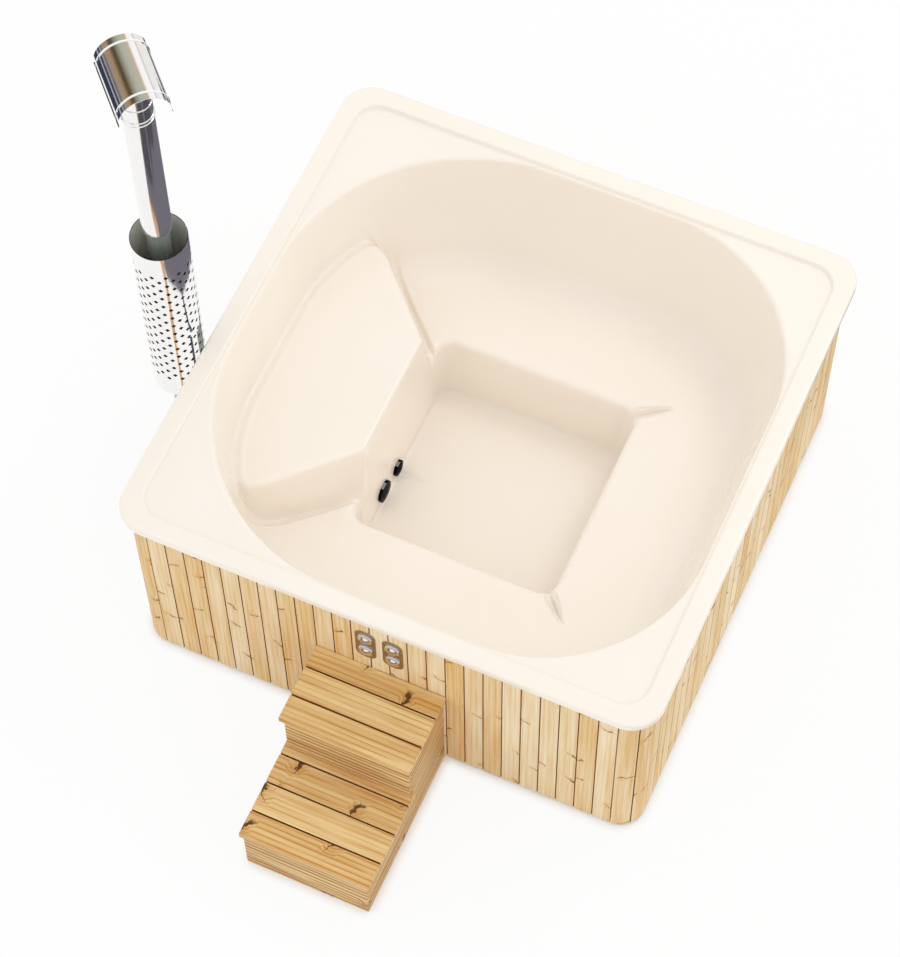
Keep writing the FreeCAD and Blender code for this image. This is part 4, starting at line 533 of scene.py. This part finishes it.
def shell_section(ray):
    """One ray's section as a row of points, its corners rounded."""
    corners, rise = shell_corners(ray)
    points = []
    start = corners[0]
    for place in range(1, len(corners)):
        corner = corners[place]
        last = place == len(corners) - 1
        into = corner - corners[place - 1]
        stop = corner
        if not last:
            out = corners[place + 1] - corner
            round_off = ROUND_BENCH[place - 1] * (1 - rise) + ROUND_PLATFORM[place - 1] * rise
            cut_in = min(round_off, into.length * ROUND_SHARE)
            cut_out = min(round_off, out.length * ROUND_SHARE)
            stop = corner - into.normalized() * cut_in
            leave = corner + out.normalized() * cut_out
        run = RUN_POINTS[place - 1]
        for step in range(run):
            share = step / run
            if place == SEAT_RUN:
                share = 1 - (1 - share) ** PAD_CROWDING
            spot = start.lerp(stop, share)
            if place == SEAT_RUN:
                inset = (stop - start).length * (1 - share)
                spot.z += PAD_BORDER * rise * math.exp(-((inset - PAD_INSET) / PAD_WIDTH) ** 2)
                spot.z -= SEAT_SAG * (1 - rise) * math.sin(math.pi * share) ** 2
                even = rise + (platform_rise(ray, 1.0) - rise) * share
                spot.z += (PLATFORM - BENCH) * (platform_rise(ray, share) - even)
            points.append(spot)
        if last:
            points.append(stop)
            break
        turns = ROUND_POINTS[place - 1]
        for step in range(turns):
            share = step / turns
            points.append(stop.lerp(corner, share).lerp(corner.lerp(leave, share), share))
        start = leave
    return points


def fold(spot, start, end, half_width, depth):
    """How far a pinched fold lowers the sheet at a point: a groove that thins towards both ends, with lips."""
    line = Vector(end) - Vector(start)
    away = Vector((spot.x, spot.y)) - Vector(start)
    share = away.dot(line) / line.length_squared
    if not 0 < share < 1:
        return 0.0
    width = half_width * (FOLD_TIP + (1 - FOLD_TIP) * (1 - share))
    across = abs(away.x * line.y - away.y * line.x) / line.length / width
    if across > 2:
        return 0.0
    groove = math.cos(math.pi / 2 * min(across, 1.0)) ** 2
    lip = math.sin(math.pi * max(across - 1, 0.0)) ** 2 * FOLD_LIP
    return depth * math.sin(math.pi * share) ** FOLD_TAPER * (groove - lip)


def shell_surface():
    """The shell's whole upper face as one mesh of rays and rings."""
    rays = [low + step * gap for low, high, gap in RAY_STEPS for step in range(round((high - low) / gap))] + [180.0]
    back = [shell_section(ray) for ray in rays]
    near = [number for number, ray in enumerate(rays) if EVEN_FROM < ray < EVEN_TO]
    for turn in range(EVEN_PASSES):
        evened = {number: [(before + 2 * spot + after) / 4 for before, spot, after
                           in zip(back[number - 1], back[number], back[number + 1])] for number in near}
        for number, section in evened.items():
            weight = soft((rays[number] - EVEN_FROM) / EVEN_FADE) * soft((EVEN_TO - rays[number]) / EVEN_FADE)
            back[number] = [spot.lerp(even, weight) for spot, even in zip(back[number], section)]
    sections = back + [[Vector((p.x, -p.y, p.z)) for p in section] for section in back[-2:0:-1]]
    work = bmesh.new()
    grid = []
    for section in sections:
        line = []
        for spot in section:
            if BENCH - PINCH_BELOW < spot.z < BENCH + PINCH_ABOVE:
                spot.z -= sum(fold(spot, *pinch) for pinch in PINCHES)
            if spot.z < FLOOR + GULLY_ABOVE:
                spot.z -= max(fold(spot, *GULLY), 0.0)
            line.append(work.verts.new(spot * MM))
        grid.append(line)
    for first, second in zip(grid, grid[1:] + grid[:1]):
        for step in range(len(first) - 1):
            work.faces.new((first[step], first[step + 1], second[step + 1], second[step]))
    work.faces.new([line[0] for line in grid])
    return work


shell = piece("look_tub_shell", shell_surface(), acrylic_formed, "tub", ["tub_shell"])
shell.modifiers.clear()
backing = shell.modifiers.new("shell_wall", "SOLIDIFY")
backing.thickness = SHELL_WALL * MM
backing.offset = -1.0

# The finish and slot of every other piece, and how far its hard edges are rounded, in millimetres.
DRESS = [
    (spruce_sawn, "frame_wood", {"base_bearers": 2.0, "rails_lower": 2.0, "rails_upper": 2.0, "corner_posts": 1.0,
                                 "bench_props": 2.0, "step_cleats": 1.5}),
    (spruce_planed, "cladding_wood", {"cladding_front": 1.0, "cladding_back": 1.0, "cladding_left": 1.0,
                                      "cladding_right": 1.0, "corner_staves_front_left": 1.0,
                                      "corner_staves_front_right": 1.0, "corner_staves_back_left": 1.0,
                                      "corner_staves_back_right": 1.0}),
    (pine_edge_sawn, "step_wood", {"step_side_left": 1.5, "step_side_right": 1.5, "step_riser_lower": 1.5,
                                   "step_riser_upper": 1.5}),
    (pine_oiled, "step_wood", {"step_treads_lower": 4.0, "step_treads_upper": 4.0}),
    (stainless_brushed, "jacket_steel", {"stove_jacket": 1.0, "stove_surround": 0.4}),
    (steel_painted, "stove_steel", {"firebox": 1.0, "ash_drawer": 0.4, "stove_door": 0.4, "door_hinge_lugs": 0.3,
                                    "stove_feet": 0.5, "flue_collar": 0.5}),
    (iron_cast, "grate_iron", {"fire_grate": 1.0}),
    (chrome_plated, "handle_steel", {"door_handle": 0.0}),
    (stainless_blued, "flue_steel", {"flue_pipe_lower": 0.0}),
    (stainless_bright, "flue_steel", {"flue_pipe_upper": 0.0}),
    (stainless_blued, "flue_steel", {"flue_reducer": 0.0}),
    (stainless_bright, "flue_steel", {"heat_guard": 0.0}),
    (stainless_stained, "flue_steel", {"guard_brackets": 0.0}),
    (stainless_bright, "flue_steel", {"cowl_cap": 0.0, "cowl_straps": 0.3}),
    (stainless_satin, "control_steel", {"control_plate_left": 0.5, "control_plate_right": 0.5}),
    (chrome_plated, "control_steel", {"button_housings": 0.0}),
    (nylon_moulded, "nut_plastic", {"button_nuts": 0.3}),
    (chrome_plated, "control_steel", {"button_left_upper": 0.0, "button_left_lower": 0.0, "button_right_upper": 0.0,
                                      "button_right_lower": 0.0}),
    (abs_moulded, "fitting_plastic", {"suction_fitting": 0.3, "drain_fitting": 0.3}),
    (nylon_moulded, "nut_plastic", {"fitting_nuts": 0.5}),
    (pvc_and_painted_glint, "pipe_plastic", {"feed_pipe": 0.5, "drain_pipe": 0.5}),
    (brass_machined, "valve_brass", {"drain_valve": 0.4}),
    (chrome_plated, "handle_steel", {"drain_lever": 1.0}),
]

TIMBERS = (spruce_planed, spruce_sawn, pine_oiled, pine_edge_sawn)

# How far a point lies behind the face of its boards.
WALL_FACE = 971.0 * MM
LOWER_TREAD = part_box("step_treads_lower")[1].z
UPPER_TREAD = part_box("step_treads_upper")[1].z
STAVE_MIDDLE = 876.0 * MM
STAVE_RADIUS = 95.0 * MM


def unjointed(point):
    """Boards that stand apart have no joints to darken."""
    return 0.0


def stave_depth(point):
    """Staves curve round the corners of the tub."""
    return STAVE_RADIUS - math.hypot(abs(point.x) - STAVE_MIDDLE, abs(point.y) - STAVE_MIDDLE)


BOARD_DEPTHS = {
    "cladding_front": lambda point: point.y + WALL_FACE,
    "cladding_back": lambda point: WALL_FACE - point.y,
    "cladding_left": lambda point: point.x + WALL_FACE,
    "cladding_right": lambda point: WALL_FACE - point.x,
    "step_treads_lower": lambda point: LOWER_TREAD - point.z,
    "step_treads_upper": lambda point: UPPER_TREAD - point.z,
    "corner_staves_front_left": stave_depth,
    "corner_staves_front_right": stave_depth,
    "corner_staves_back_left": stave_depth,
    "corner_staves_back_right": stave_depth,
}

# The chimney: its axis, the sleeve inside the guard and how far the upper pipe runs on into the cowl.
FLUE_AXIS = Vector((-1119.0, -245.28)) * MM
SLEEVE_OUTER, SLEEVE_INNER, SLEEVE_SLACK = 97.2 * MM, 96.4 * MM, 0.1 * MM
SLEEVE_SIDES = 128
PIPE_HEAD = 18.0 * MM
# Faces of the guard that look up by more than FACING_UP are painted white: a painted highlight.
FACING_IN, FACING_UP = 0.5, 0.8
# The cowl: its bent axis lies this far under the top of its beads.
BEAD_TOP = 88.5 * MM
COWL_MIDDLE = Vector((*FLUE_AXIS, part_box("cowl_cap")[1].z - BEAD_TOP))
COWL_ALONG = Vector((0.70, -0.714, 0.0))
COWL_ACROSS = Vector((0.714, 0.70, 0.0))
COWL_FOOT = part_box("cowl_cap")[0].z
# Past COWL_FACE out from the axis or COWL_END along it, the beads and cut ends are painted white, a highlight; below
# HEM_HEIGHT the cowl is black.
COWL_END, COWL_FACE, HEM_HEIGHT = 129.0 * MM, 86.5 * MM, 5.2 * MM
# The beads rolled across the cowl: distance from its middle, half width, height above which they lie, rounding.
BEAD_PLACE, BEAD_HALF, BEAD_OUT, BEAD_ROUND = 103.0 * MM, 3.0 * MM, 88.0 * MM, 2.3 * MM
BEAD_STEPS = 4
ACROSS_LEAST = 0.5


def line_guard(work):
    """Adds the plain sleeve behind the guard's holes, black outside as painted shade, which makes the holes black and
    the inside smooth.
    """
    low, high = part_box("heat_guard")
    rings = []
    for radius, level in ((SLEEVE_OUTER, low.z + MM), (SLEEVE_OUTER, high.z - MM),
                          (SLEEVE_INNER, high.z - MM), (SLEEVE_INNER, low.z + MM)):
        rings.append([work.verts.new((FLUE_AXIS.x + radius * math.cos(math.tau * side / SLEEVE_SIDES),
                                      FLUE_AXIS.y + radius * math.sin(math.tau * side / SLEEVE_SIDES), level))
                      for side in range(SLEEVE_SIDES)])
    for first, second in zip(rings, rings[1:] + rings[:1]):
        for side in range(SLEEVE_SIDES):
            after = (side + 1) % SLEEVE_SIDES
            work.faces.new((first[side], first[after], second[after], second[side]))


def raise_head(work):
    """Runs the upper pipe on, up into the cowl's shade."""
    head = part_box("flue_pipe_upper")[1].z - MM
    for vertex in work.verts:
        if vertex.co.z > head:
            vertex.co.z += PIPE_HEAD


def from_cowl_axis(point):
    """A point's distance along the cowl from its middle, and out from its bent axis."""
    away = point - COWL_MIDDLE
    return abs(away.dot(COWL_ALONG)), math.hypot(away.dot(COWL_ACROSS), max(away.z, 0.0))


def round_beads(work):
    """Rounds the cowl's two beads; painted white as a highlight, they draw a white line near each end."""
    def on_bead(vertex):
        end, out = from_cowl_axis(vertex.co)
        return abs(end - BEAD_PLACE) < BEAD_HALF and out > BEAD_OUT

    ridges = []
    for edge in work.edges:
        line = (edge.verts[1].co - edge.verts[0].co).normalized()
        if all(on_bead(vertex) for vertex in edge.verts) and abs(line.dot(COWL_ALONG)) < ACROSS_LEAST:
            ridges.append(edge)
    bmesh.ops.bevel(work, geom=ridges, offset=BEAD_ROUND, segments=BEAD_STEPS, profile=ROUND, affect="EDGES",
                    clamp_overlap=True)


# The two fittings in the foot well: middle of the face on the wall and its radius.
FITTING_FACES = {"suction_fitting": (Vector((-378.3, -158.0, 162.0)) * MM, 44.0 * MM),
                 "drain_fitting": (Vector((-377.6, -39.0, 143.0)) * MM, 32.5 * MM)}
FITTING_AXIS = Vector((0.9993, 0.0, 0.038))
FACE_FRONT, FACE_CROWN, FACE_CUTS = 7.0 * MM, 6.0 * MM, 3
CROWN_FACING = 0.9
# Where the painted glint, a grey patch, lies on a fitting's edge: degrees from the top, share of the radius, least
# upward facing.
GLINT_TURNS, GLINT_OUT, GLINT_FACING = (-20.0, 17.0), 0.9, 0.6
# What counts as a control plate's edge, and as the top of a bezel, which is painted white as a highlight.
PLATE_FACING = -0.95
BEZEL_FACING = 0.35


def crown(middle, radius, work):
    """Domes a fitting's flat slotted face."""
    front = [face for face in work.faces if (face.calc_center_median() - middle).dot(FITTING_AXIS) > FACE_FRONT
             and face.normal.dot(FITTING_AXIS) > CROWN_FACING]
    parts = bmesh.ops.triangulate(work, faces=front)["faces"]
    edges = list({edge for face in parts for edge in face.edges})
    bmesh.ops.subdivide_edges(work, edges=edges, cuts=FACE_CUTS, use_grid_fill=True)
    for vertex in work.verts:
        away = vertex.co - middle
        height = away.dot(FITTING_AXIS)
        if height > FACE_FRONT:
            far = (away - FITTING_AXIS * height).length / radius
            vertex.co += FITTING_AXIS * FACE_CROWN * max(1 - far * far, 0.0)


def looks_in(face):
    """Whether a face of the chimney looks towards its axis."""
    inward = FLUE_AXIS - Vector(face.center[:2])
    return inward.normalized().dot(Vector(face.normal[:2])) > FACING_IN


def guard_finish(face):
    """The guard is stained inside; the sleeve behind its holes is black, painted shade; its up-facing faces are
    white, a painted highlight.
    """
    if looks_in(face):
        return 1
    if (FLUE_AXIS - Vector(face.center[:2])).length < SLEEVE_OUTER + SLEEVE_SLACK:
        return 2
    return 3 if face.normal.z > FACING_UP else 0


def cowl_finish(face):
    """The cowl's hems, its lowest few millimetres, are black, and its beads and cut ends are white lines, a painted
    highlight.
    """
    if face.center.z < COWL_FOOT + HEM_HEIGHT:
        return 1
    end, out = from_cowl_axis(face.center)
    return 2 if out > COWL_FACE or end > COWL_END else 0


def on_painted_glint(middle, radius, face):
    """Whether a face lies on the painted glint, a grey patch at the top of a fitting's edge."""
    away = face.center - middle
    turn = math.degrees(math.atan2(away.y, away.z))
    on_edge = math.hypot(away.y, away.z) > GLINT_OUT * radius and face.normal.z > GLINT_FACING
    return on_edge and GLINT_TURNS[0] < turn < GLINT_TURNS[1]


# What is done to a node's own shape, and which other finishes its faces take: nought is the piece's own finish.
SHAPING = {"heat_guard": line_guard, "flue_pipe_upper": raise_head, "cowl_cap": round_beads}
PAINTING = {
    # The guard's sleeve behind the holes is black, painted shade; its up-facing faces are white, a painted highlight.
    "heat_guard": ([stainless_stained, soot_and_painted_shade, painted_highlight_white], guard_finish),
    "flue_pipe_upper": ([stainless_stained], looks_in),
    "flue_pipe_lower": ([soot_and_painted_shade], looks_in),
    "cowl_cap": ([steel_painted, painted_highlight_white], cowl_finish),
    "control_plate_left": ([chrome_plated], lambda face: face.normal.y > PLATE_FACING),
    "control_plate_right": ([chrome_plated], lambda face: face.normal.y > PLATE_FACING),
    # The tops of the bezels are painted white: a painted highlight.
    "button_housings": ([painted_highlight_white], lambda face: face.normal.z > BEZEL_FACING),
}
# Each fitting's face is domed, and a grey patch at the top of its edge is a painted glint.
for node, seat in FITTING_FACES.items():
    SHAPING[node] = functools.partial(crown, *seat)
    PAINTING[node] = ([pvc_and_painted_glint], functools.partial(on_painted_glint, *seat))

chance = random.Random(SEED)
for material, slot, edges in DRESS:
    for node, edge in edges.items():
        shape = worn(node, edge * MM)
        if material in TIMBERS:
            lay_grain(shape, chance, BOARD_DEPTHS.get(node, unjointed))
        if node in SHAPING:
            SHAPING[node](shape)
        made = piece("look_" + node, shape, material, body_of(node), [node])
        if node in PAINTING:
            others, finish_of = PAINTING[node]
            for other in others:
                made.data.materials.append(other)
            for face in made.data.polygons:
                face.material_index = int(finish_of(face))


scene = bpy.context.scene
scene.view_settings.view_transform = "Standard"

# The camera, solved from the photograph's straight edges at 900 by 957.
CAMERA_PLACE = Vector((2.1474, -4.9384, 10.2222))
CAMERA_RIGHT = Vector((0.9121, 0.4098, -0.0097))
CAMERA_UP = Vector((-0.3562, 0.8041, 0.4760))
CAMERA_LENS = 116.29
SENSOR = 36.0
SIGHT = 100.0

eye = bpy.data.objects.new("camera", bpy.data.cameras.new("camera"))
scene.collection.objects.link(eye)
eye.data.lens = CAMERA_LENS
eye.data.sensor_width = SENSOR
eye.data.clip_end = SIGHT
back = CAMERA_RIGHT.cross(CAMERA_UP).normalized()
side = CAMERA_UP.cross(back).normalized()
upward = back.cross(side)
eye.matrix_world = Matrix.Translation(CAMERA_PLACE) @ Matrix((side, upward, back)).transposed().to_4x4()
scene.camera = eye

# The studio: an even sky, one soft lamp and a white paper floor, which greys only close to what stands on it.
WHITE = (1.0, 1.0, 1.0, 1.0)
SKY_LIGHT = 0.95
LAMP_SIZE, LAMP_POWER = 1.8, 40.0
LAMP_PLACE, LAMP_AIM = Vector((2.6, 3.0, 6.6)), Vector((0.0, 0.0, 0.6))
FLOOR_HALF = 30.0
PAPER = "#fafafa"
# The floor's shade by the tub: how far it reaches, how open the floor is at its ends, how white the floor is there.
SHADE_REACH, SHADE_OPEN, SHADE_WHITE = 0.04, (0.45, 0.95), (0.2, 0.9)


def looked_at(tree):
    """One where the camera, a mirror or clear stuff looks at a surface, nought where the surface gives light."""
    ray = add(tree, "ShaderNodeLightPath")
    seen = ray.outputs["Is Camera Ray"]
    for kind in ("Is Glossy Ray", "Is Transmission Ray"):
        seen = add(tree, "ShaderNodeMath", {0: seen, 1: ray.outputs[kind]}, operation="MAXIMUM").outputs[0]
    return seen


world = bpy.data.worlds.new("studio")
scene.world = world
world.use_nodes = True
sky = world.node_tree
sky.nodes.clear()
light = add(sky, "ShaderNodeBackground", {"Color": WHITE, "Strength": SKY_LIGHT}).outputs[0]
white = add(sky, "ShaderNodeBackground", {"Color": WHITE, "Strength": 1.0}).outputs[0]
blend = add(sky, "ShaderNodeMixShader", {0: looked_at(sky), 1: light, 2: white}).outputs[0]
add(sky, "ShaderNodeOutputWorld", {"Surface": blend})

paper, sheet = bare("floor_white_paper")
open_floor = add(sheet, "ShaderNodeAmbientOcclusion", {"Distance": SHADE_REACH}, samples=8).outputs["AO"]
whiteness = add(sheet, "ShaderNodeMapRange", {0: open_floor, 1: SHADE_OPEN[0], 2: SHADE_OPEN[1],
                                              3: SHADE_WHITE[0], 4: SHADE_WHITE[1]}).outputs[0]
share = add(sheet, "ShaderNodeMath", {0: looked_at(sheet), 1: whiteness}, operation="MULTIPLY").outputs[0]
matt = add(sheet, "ShaderNodeBsdfDiffuse", {"Color": linear(PAPER)}).outputs[0]
glow = add(sheet, "ShaderNodeEmission", {"Color": WHITE, "Strength": 1.0}).outputs[0]
both = add(sheet, "ShaderNodeMixShader", {0: share, 1: matt, 2: glow}).outputs[0]
add(sheet, "ShaderNodeOutputMaterial", {"Surface": both})
floor_work = bmesh.new()
bmesh.ops.create_grid(floor_work, x_segments=1, y_segments=1, size=FLOOR_HALF)
floor = stand("floor", floor_work, paper)

lamp = bpy.data.objects.new("key_softbox", bpy.data.lights.new("key_softbox", "AREA"))
lamp.data.shape = "DISK"
lamp.data.size = LAMP_SIZE
lamp.data.energy = LAMP_POWER
lamp.location = LAMP_PLACE
lamp.rotation_euler = (LAMP_AIM - LAMP_PLACE).to_track_quat("-Z", "Y").to_euler()
scene.collection.objects.link(lamp)

# Cards that only the polished steel sees: each shows its front face, no brighter than white, and lights nothing.
CARD_LEVEL = 1.0
CARD_STEP = 0.004
CARD_FACES = Vector((-1.0, 0.0, 1.0))


def hang_card(name, work, colour_of):
    """Makes a card from a mesh: seen from its front face and only in reflections."""
    paint, coat = bare(name)
    behind = add(coat, "ShaderNodeNewGeometry").outputs["Backfacing"]
    shown = add(coat, "ShaderNodeEmission", {"Color": colour_of(coat), "Strength": 1.0}).outputs[0]
    clear = add(coat, "ShaderNodeBsdfTransparent").outputs[0]
    face = add(coat, "ShaderNodeMixShader", {0: behind, 1: shown, 2: clear}).outputs[0]
    add(coat, "ShaderNodeOutputMaterial", {"Surface": face})
    made = stand(name, work, paint)
    made.visible_camera = False
    made.visible_diffuse = False
    made.visible_transmission = False
    made.visible_volume_scatter = False
    made.visible_shadow = False


def card(name, colour, corners):
    """A flat card of one colour with these corners, which faces up and out to the left."""
    work = bmesh.new()
    face = work.faces.new([work.verts.new(corner) for corner in corners])
    face.normal_update()
    if face.normal.dot(CARD_FACES) < 0:
        face.normal_flip()
    hang_card(name, work, lambda coat: linear(colour))


def bent_card(name, rows):
    """A card bent through rows of points, each with its colour; the colours run into each other."""
    work = bmesh.new()
    shade = work.verts.layers.float_color.new("shade")
    strip = []
    for row in rows:
        strip.append([work.verts.new(spot) for colour, spot in row])
        for corner, (colour, spot) in zip(strip[-1], row):
            corner[shade] = linear(colour)
    for low, high in zip(strip, strip[1:]):
        for step in range(len(low) - 1):
            work.faces.new((low[step], high[step], high[step + 1], low[step + 1]))
    hang_card(name, work, lambda coat: add(coat, "ShaderNodeAttribute", attribute_name="shade").outputs["Color"])


def round_flue(far, turn, level):
    """A point at a distance and a number of degrees round the chimney."""
    return (FLUE_AXIS.x + far * math.cos(math.radians(turn)), FLUE_AXIS.y + far * math.sin(math.radians(turn)), level)


# Over the tub: slate, darker further off, with an amber wedge, a dark line and the pale rim nearest. Each has its
# colour, its layer and its corners, in metres and degrees round the chimney.
FLAT_CARDS = {
    "card_slate": ("#716e78", 0, [(1.35, -40), (1.03, -54), (0.89, -65), (0.73, -73), (0.62, -76), (0.5, -47),
                                  (0.436, -54), (0.38, -49), (0.33, -26), (0.283, -7), (0.31, 14), (0.31, 38),
                                  (0.33, 56), (0.33, 90), (0.33, 125), (1.35, 125), (1.5, 80), (1.5, 20)]),
    "card_slate_dark": ("#4f4d55", 1, [(1.4, -44), (1.04, -53), (0.85, -66), (0.72, -60), (0.68, -40), (0.85, -5),
                                       (0.95, 40), (1.45, 60), (1.5, 20)]),
    "card_slate_streak": ("#85828a", 2, [(1.45, -12), (0.72, -30), (0.72, -26), (1.45, -7)]),
    "card_amber": ("#d3a878", 1, [(0.64, -77), (0.55, -76), (0.45, -64), (0.38, -61), (0.12, -60), (0.12, -54),
                                  (0.38, -53), (0.45, -53), (0.5, -47), (0.55, -56)]),
    "card_dark_line": ("#50534f", 1, [(0.12, -16), (0.29, -11), (0.29, -7), (0.12, -9)]),
    "card_rim_white": ("#ffffff", -1, [(0.9, -83), (0.9, -30), (0.9, 30), (0.9, 83), (0.108, 8), (0.108, -8)]),
}
for name, (colour, layer, spots) in FLAT_CARDS.items():
    card(name, colour, [round_flue(far, turn, CARD_LEVEL + layer * CARD_STEP) for far, turn in spots])

# Against the left wall: white, with the same amber and dark lines and a grey-green end. Each has its colour, its
# layer and its two ends.
WALL_PLANE, WALL_STEP, WALL_TOP = -1.012, 0.001, CARD_LEVEL - CARD_STEP
WALL_CARDS = {
    "card_wall_white": ("#ffffff", 0, -1.0, 0.1),
    "card_wall_amber": ("#d3a878", 1, -0.455, -0.405),
    "card_wall_dark": ("#50534f", 1, -0.288, -0.277),
    "card_wall_green": ("#8d9188", 1, -0.25, 0.1),
}
for name, (colour, layer, near, far) in WALL_CARDS.items():
    plane = WALL_PLANE - layer * WALL_STEP
    card(name, colour, [(plane, far, 0.0), (plane, near, 0.0), (plane, near, WALL_TOP), (plane, far, WALL_TOP)])

# An arch far behind the chimney, which the cowl shows: its shades run across it, from the left foot over the top.
ARCH_RADIUS = 3.0
ARCH_ENDS = (-2.55, -1.7)
ARCH_SHADES = [(-135, "#343848"), (-112, "#2f3550"), (-107, "#c9ccd6"), (-101, "#3a3f55"), (-91, "#3d3f50"),
               (-87, "#b9b4b0"), (-81, "#5a5560"), (-69, "#9a8f84"), (-50, "#a3835f"), (-37, "#5a4630"),
               (-28, "#4f3d2a"), (-15, "#8c8670"), (1, "#aeb0a2"), (18, "#b8b7a8"), (33, "#c9b39a"), (42, "#ffffff"),
               (64, "#ffffff"), (69, "#c8c4be"), (74, "#f2f1ee"), (140, "#f2f1ee")]
arch = []
for turn, colour in ARCH_SHADES:
    out = COWL_ACROSS * math.sin(math.radians(turn)) + Vector((0.0, 0.0, math.cos(math.radians(turn))))
    arch.append([(colour, COWL_MIDDLE + out * ARCH_RADIUS + COWL_ALONG * end) for end in ARCH_ENDS])
bent_card("card_cowl", arch)

# Two rings round the chimney, low and far enough out that views from the side meet them in the steel: white, with
# slate where the tub lies. Each has its radius and its height.
HORIZON_RINGS = {"card_horizon_near": (2.6, 0.95), "card_horizon_far": (5.0, 1.25)}
HORIZON_FOOT = 0.02
HORIZON_SHADES = [(-180, "#343848"), (-174, "#3a3f55"), (-168, "#c9c8ca"), (-152, "#8f8e96"), (-144, "#f4f4f2"),
                  (-118, "#ffffff"), (-110, "#d3b08a"), (-104, "#85828a"), (-86, "#716e78"), (-78, "#ffffff"),
                  (-50, "#ffffff"), (-40, "#716e78"), (-8, "#4f4d55"), (20, "#6a6772"), (50, "#8d8a92"),
                  (80, "#5d5b65"), (108, "#716e78"), (122, "#ffffff"), (142, "#ffffff"), (154, "#a7a4a6"),
                  (166, "#e6e5e2"), (172, "#3a3f55"), (180, "#343848")]
for name, (far, top) in HORIZON_RINGS.items():
    bent_card(name, [[(colour, round_flue(far, turn, level)) for level in (top, HORIZON_FOOT)]
                     for turn, colour in HORIZON_SHADES])

# Before the push buttons, over the upper tread: the brown that darkens the lower half of their domes.
TREAD_SIDE, TREAD_NEAR, TREAD_FAR = 0.5, -1.13, -1.62
card("card_tread", "#a38868", [(side, place, UPPER_TREAD + CARD_STEP) for side, place in
                               ((-TREAD_SIDE, TREAD_FAR), (TREAD_SIDE, TREAD_FAR),
                                (TREAD_SIDE, TREAD_NEAR), (-TREAD_SIDE, TREAD_NEAR))])
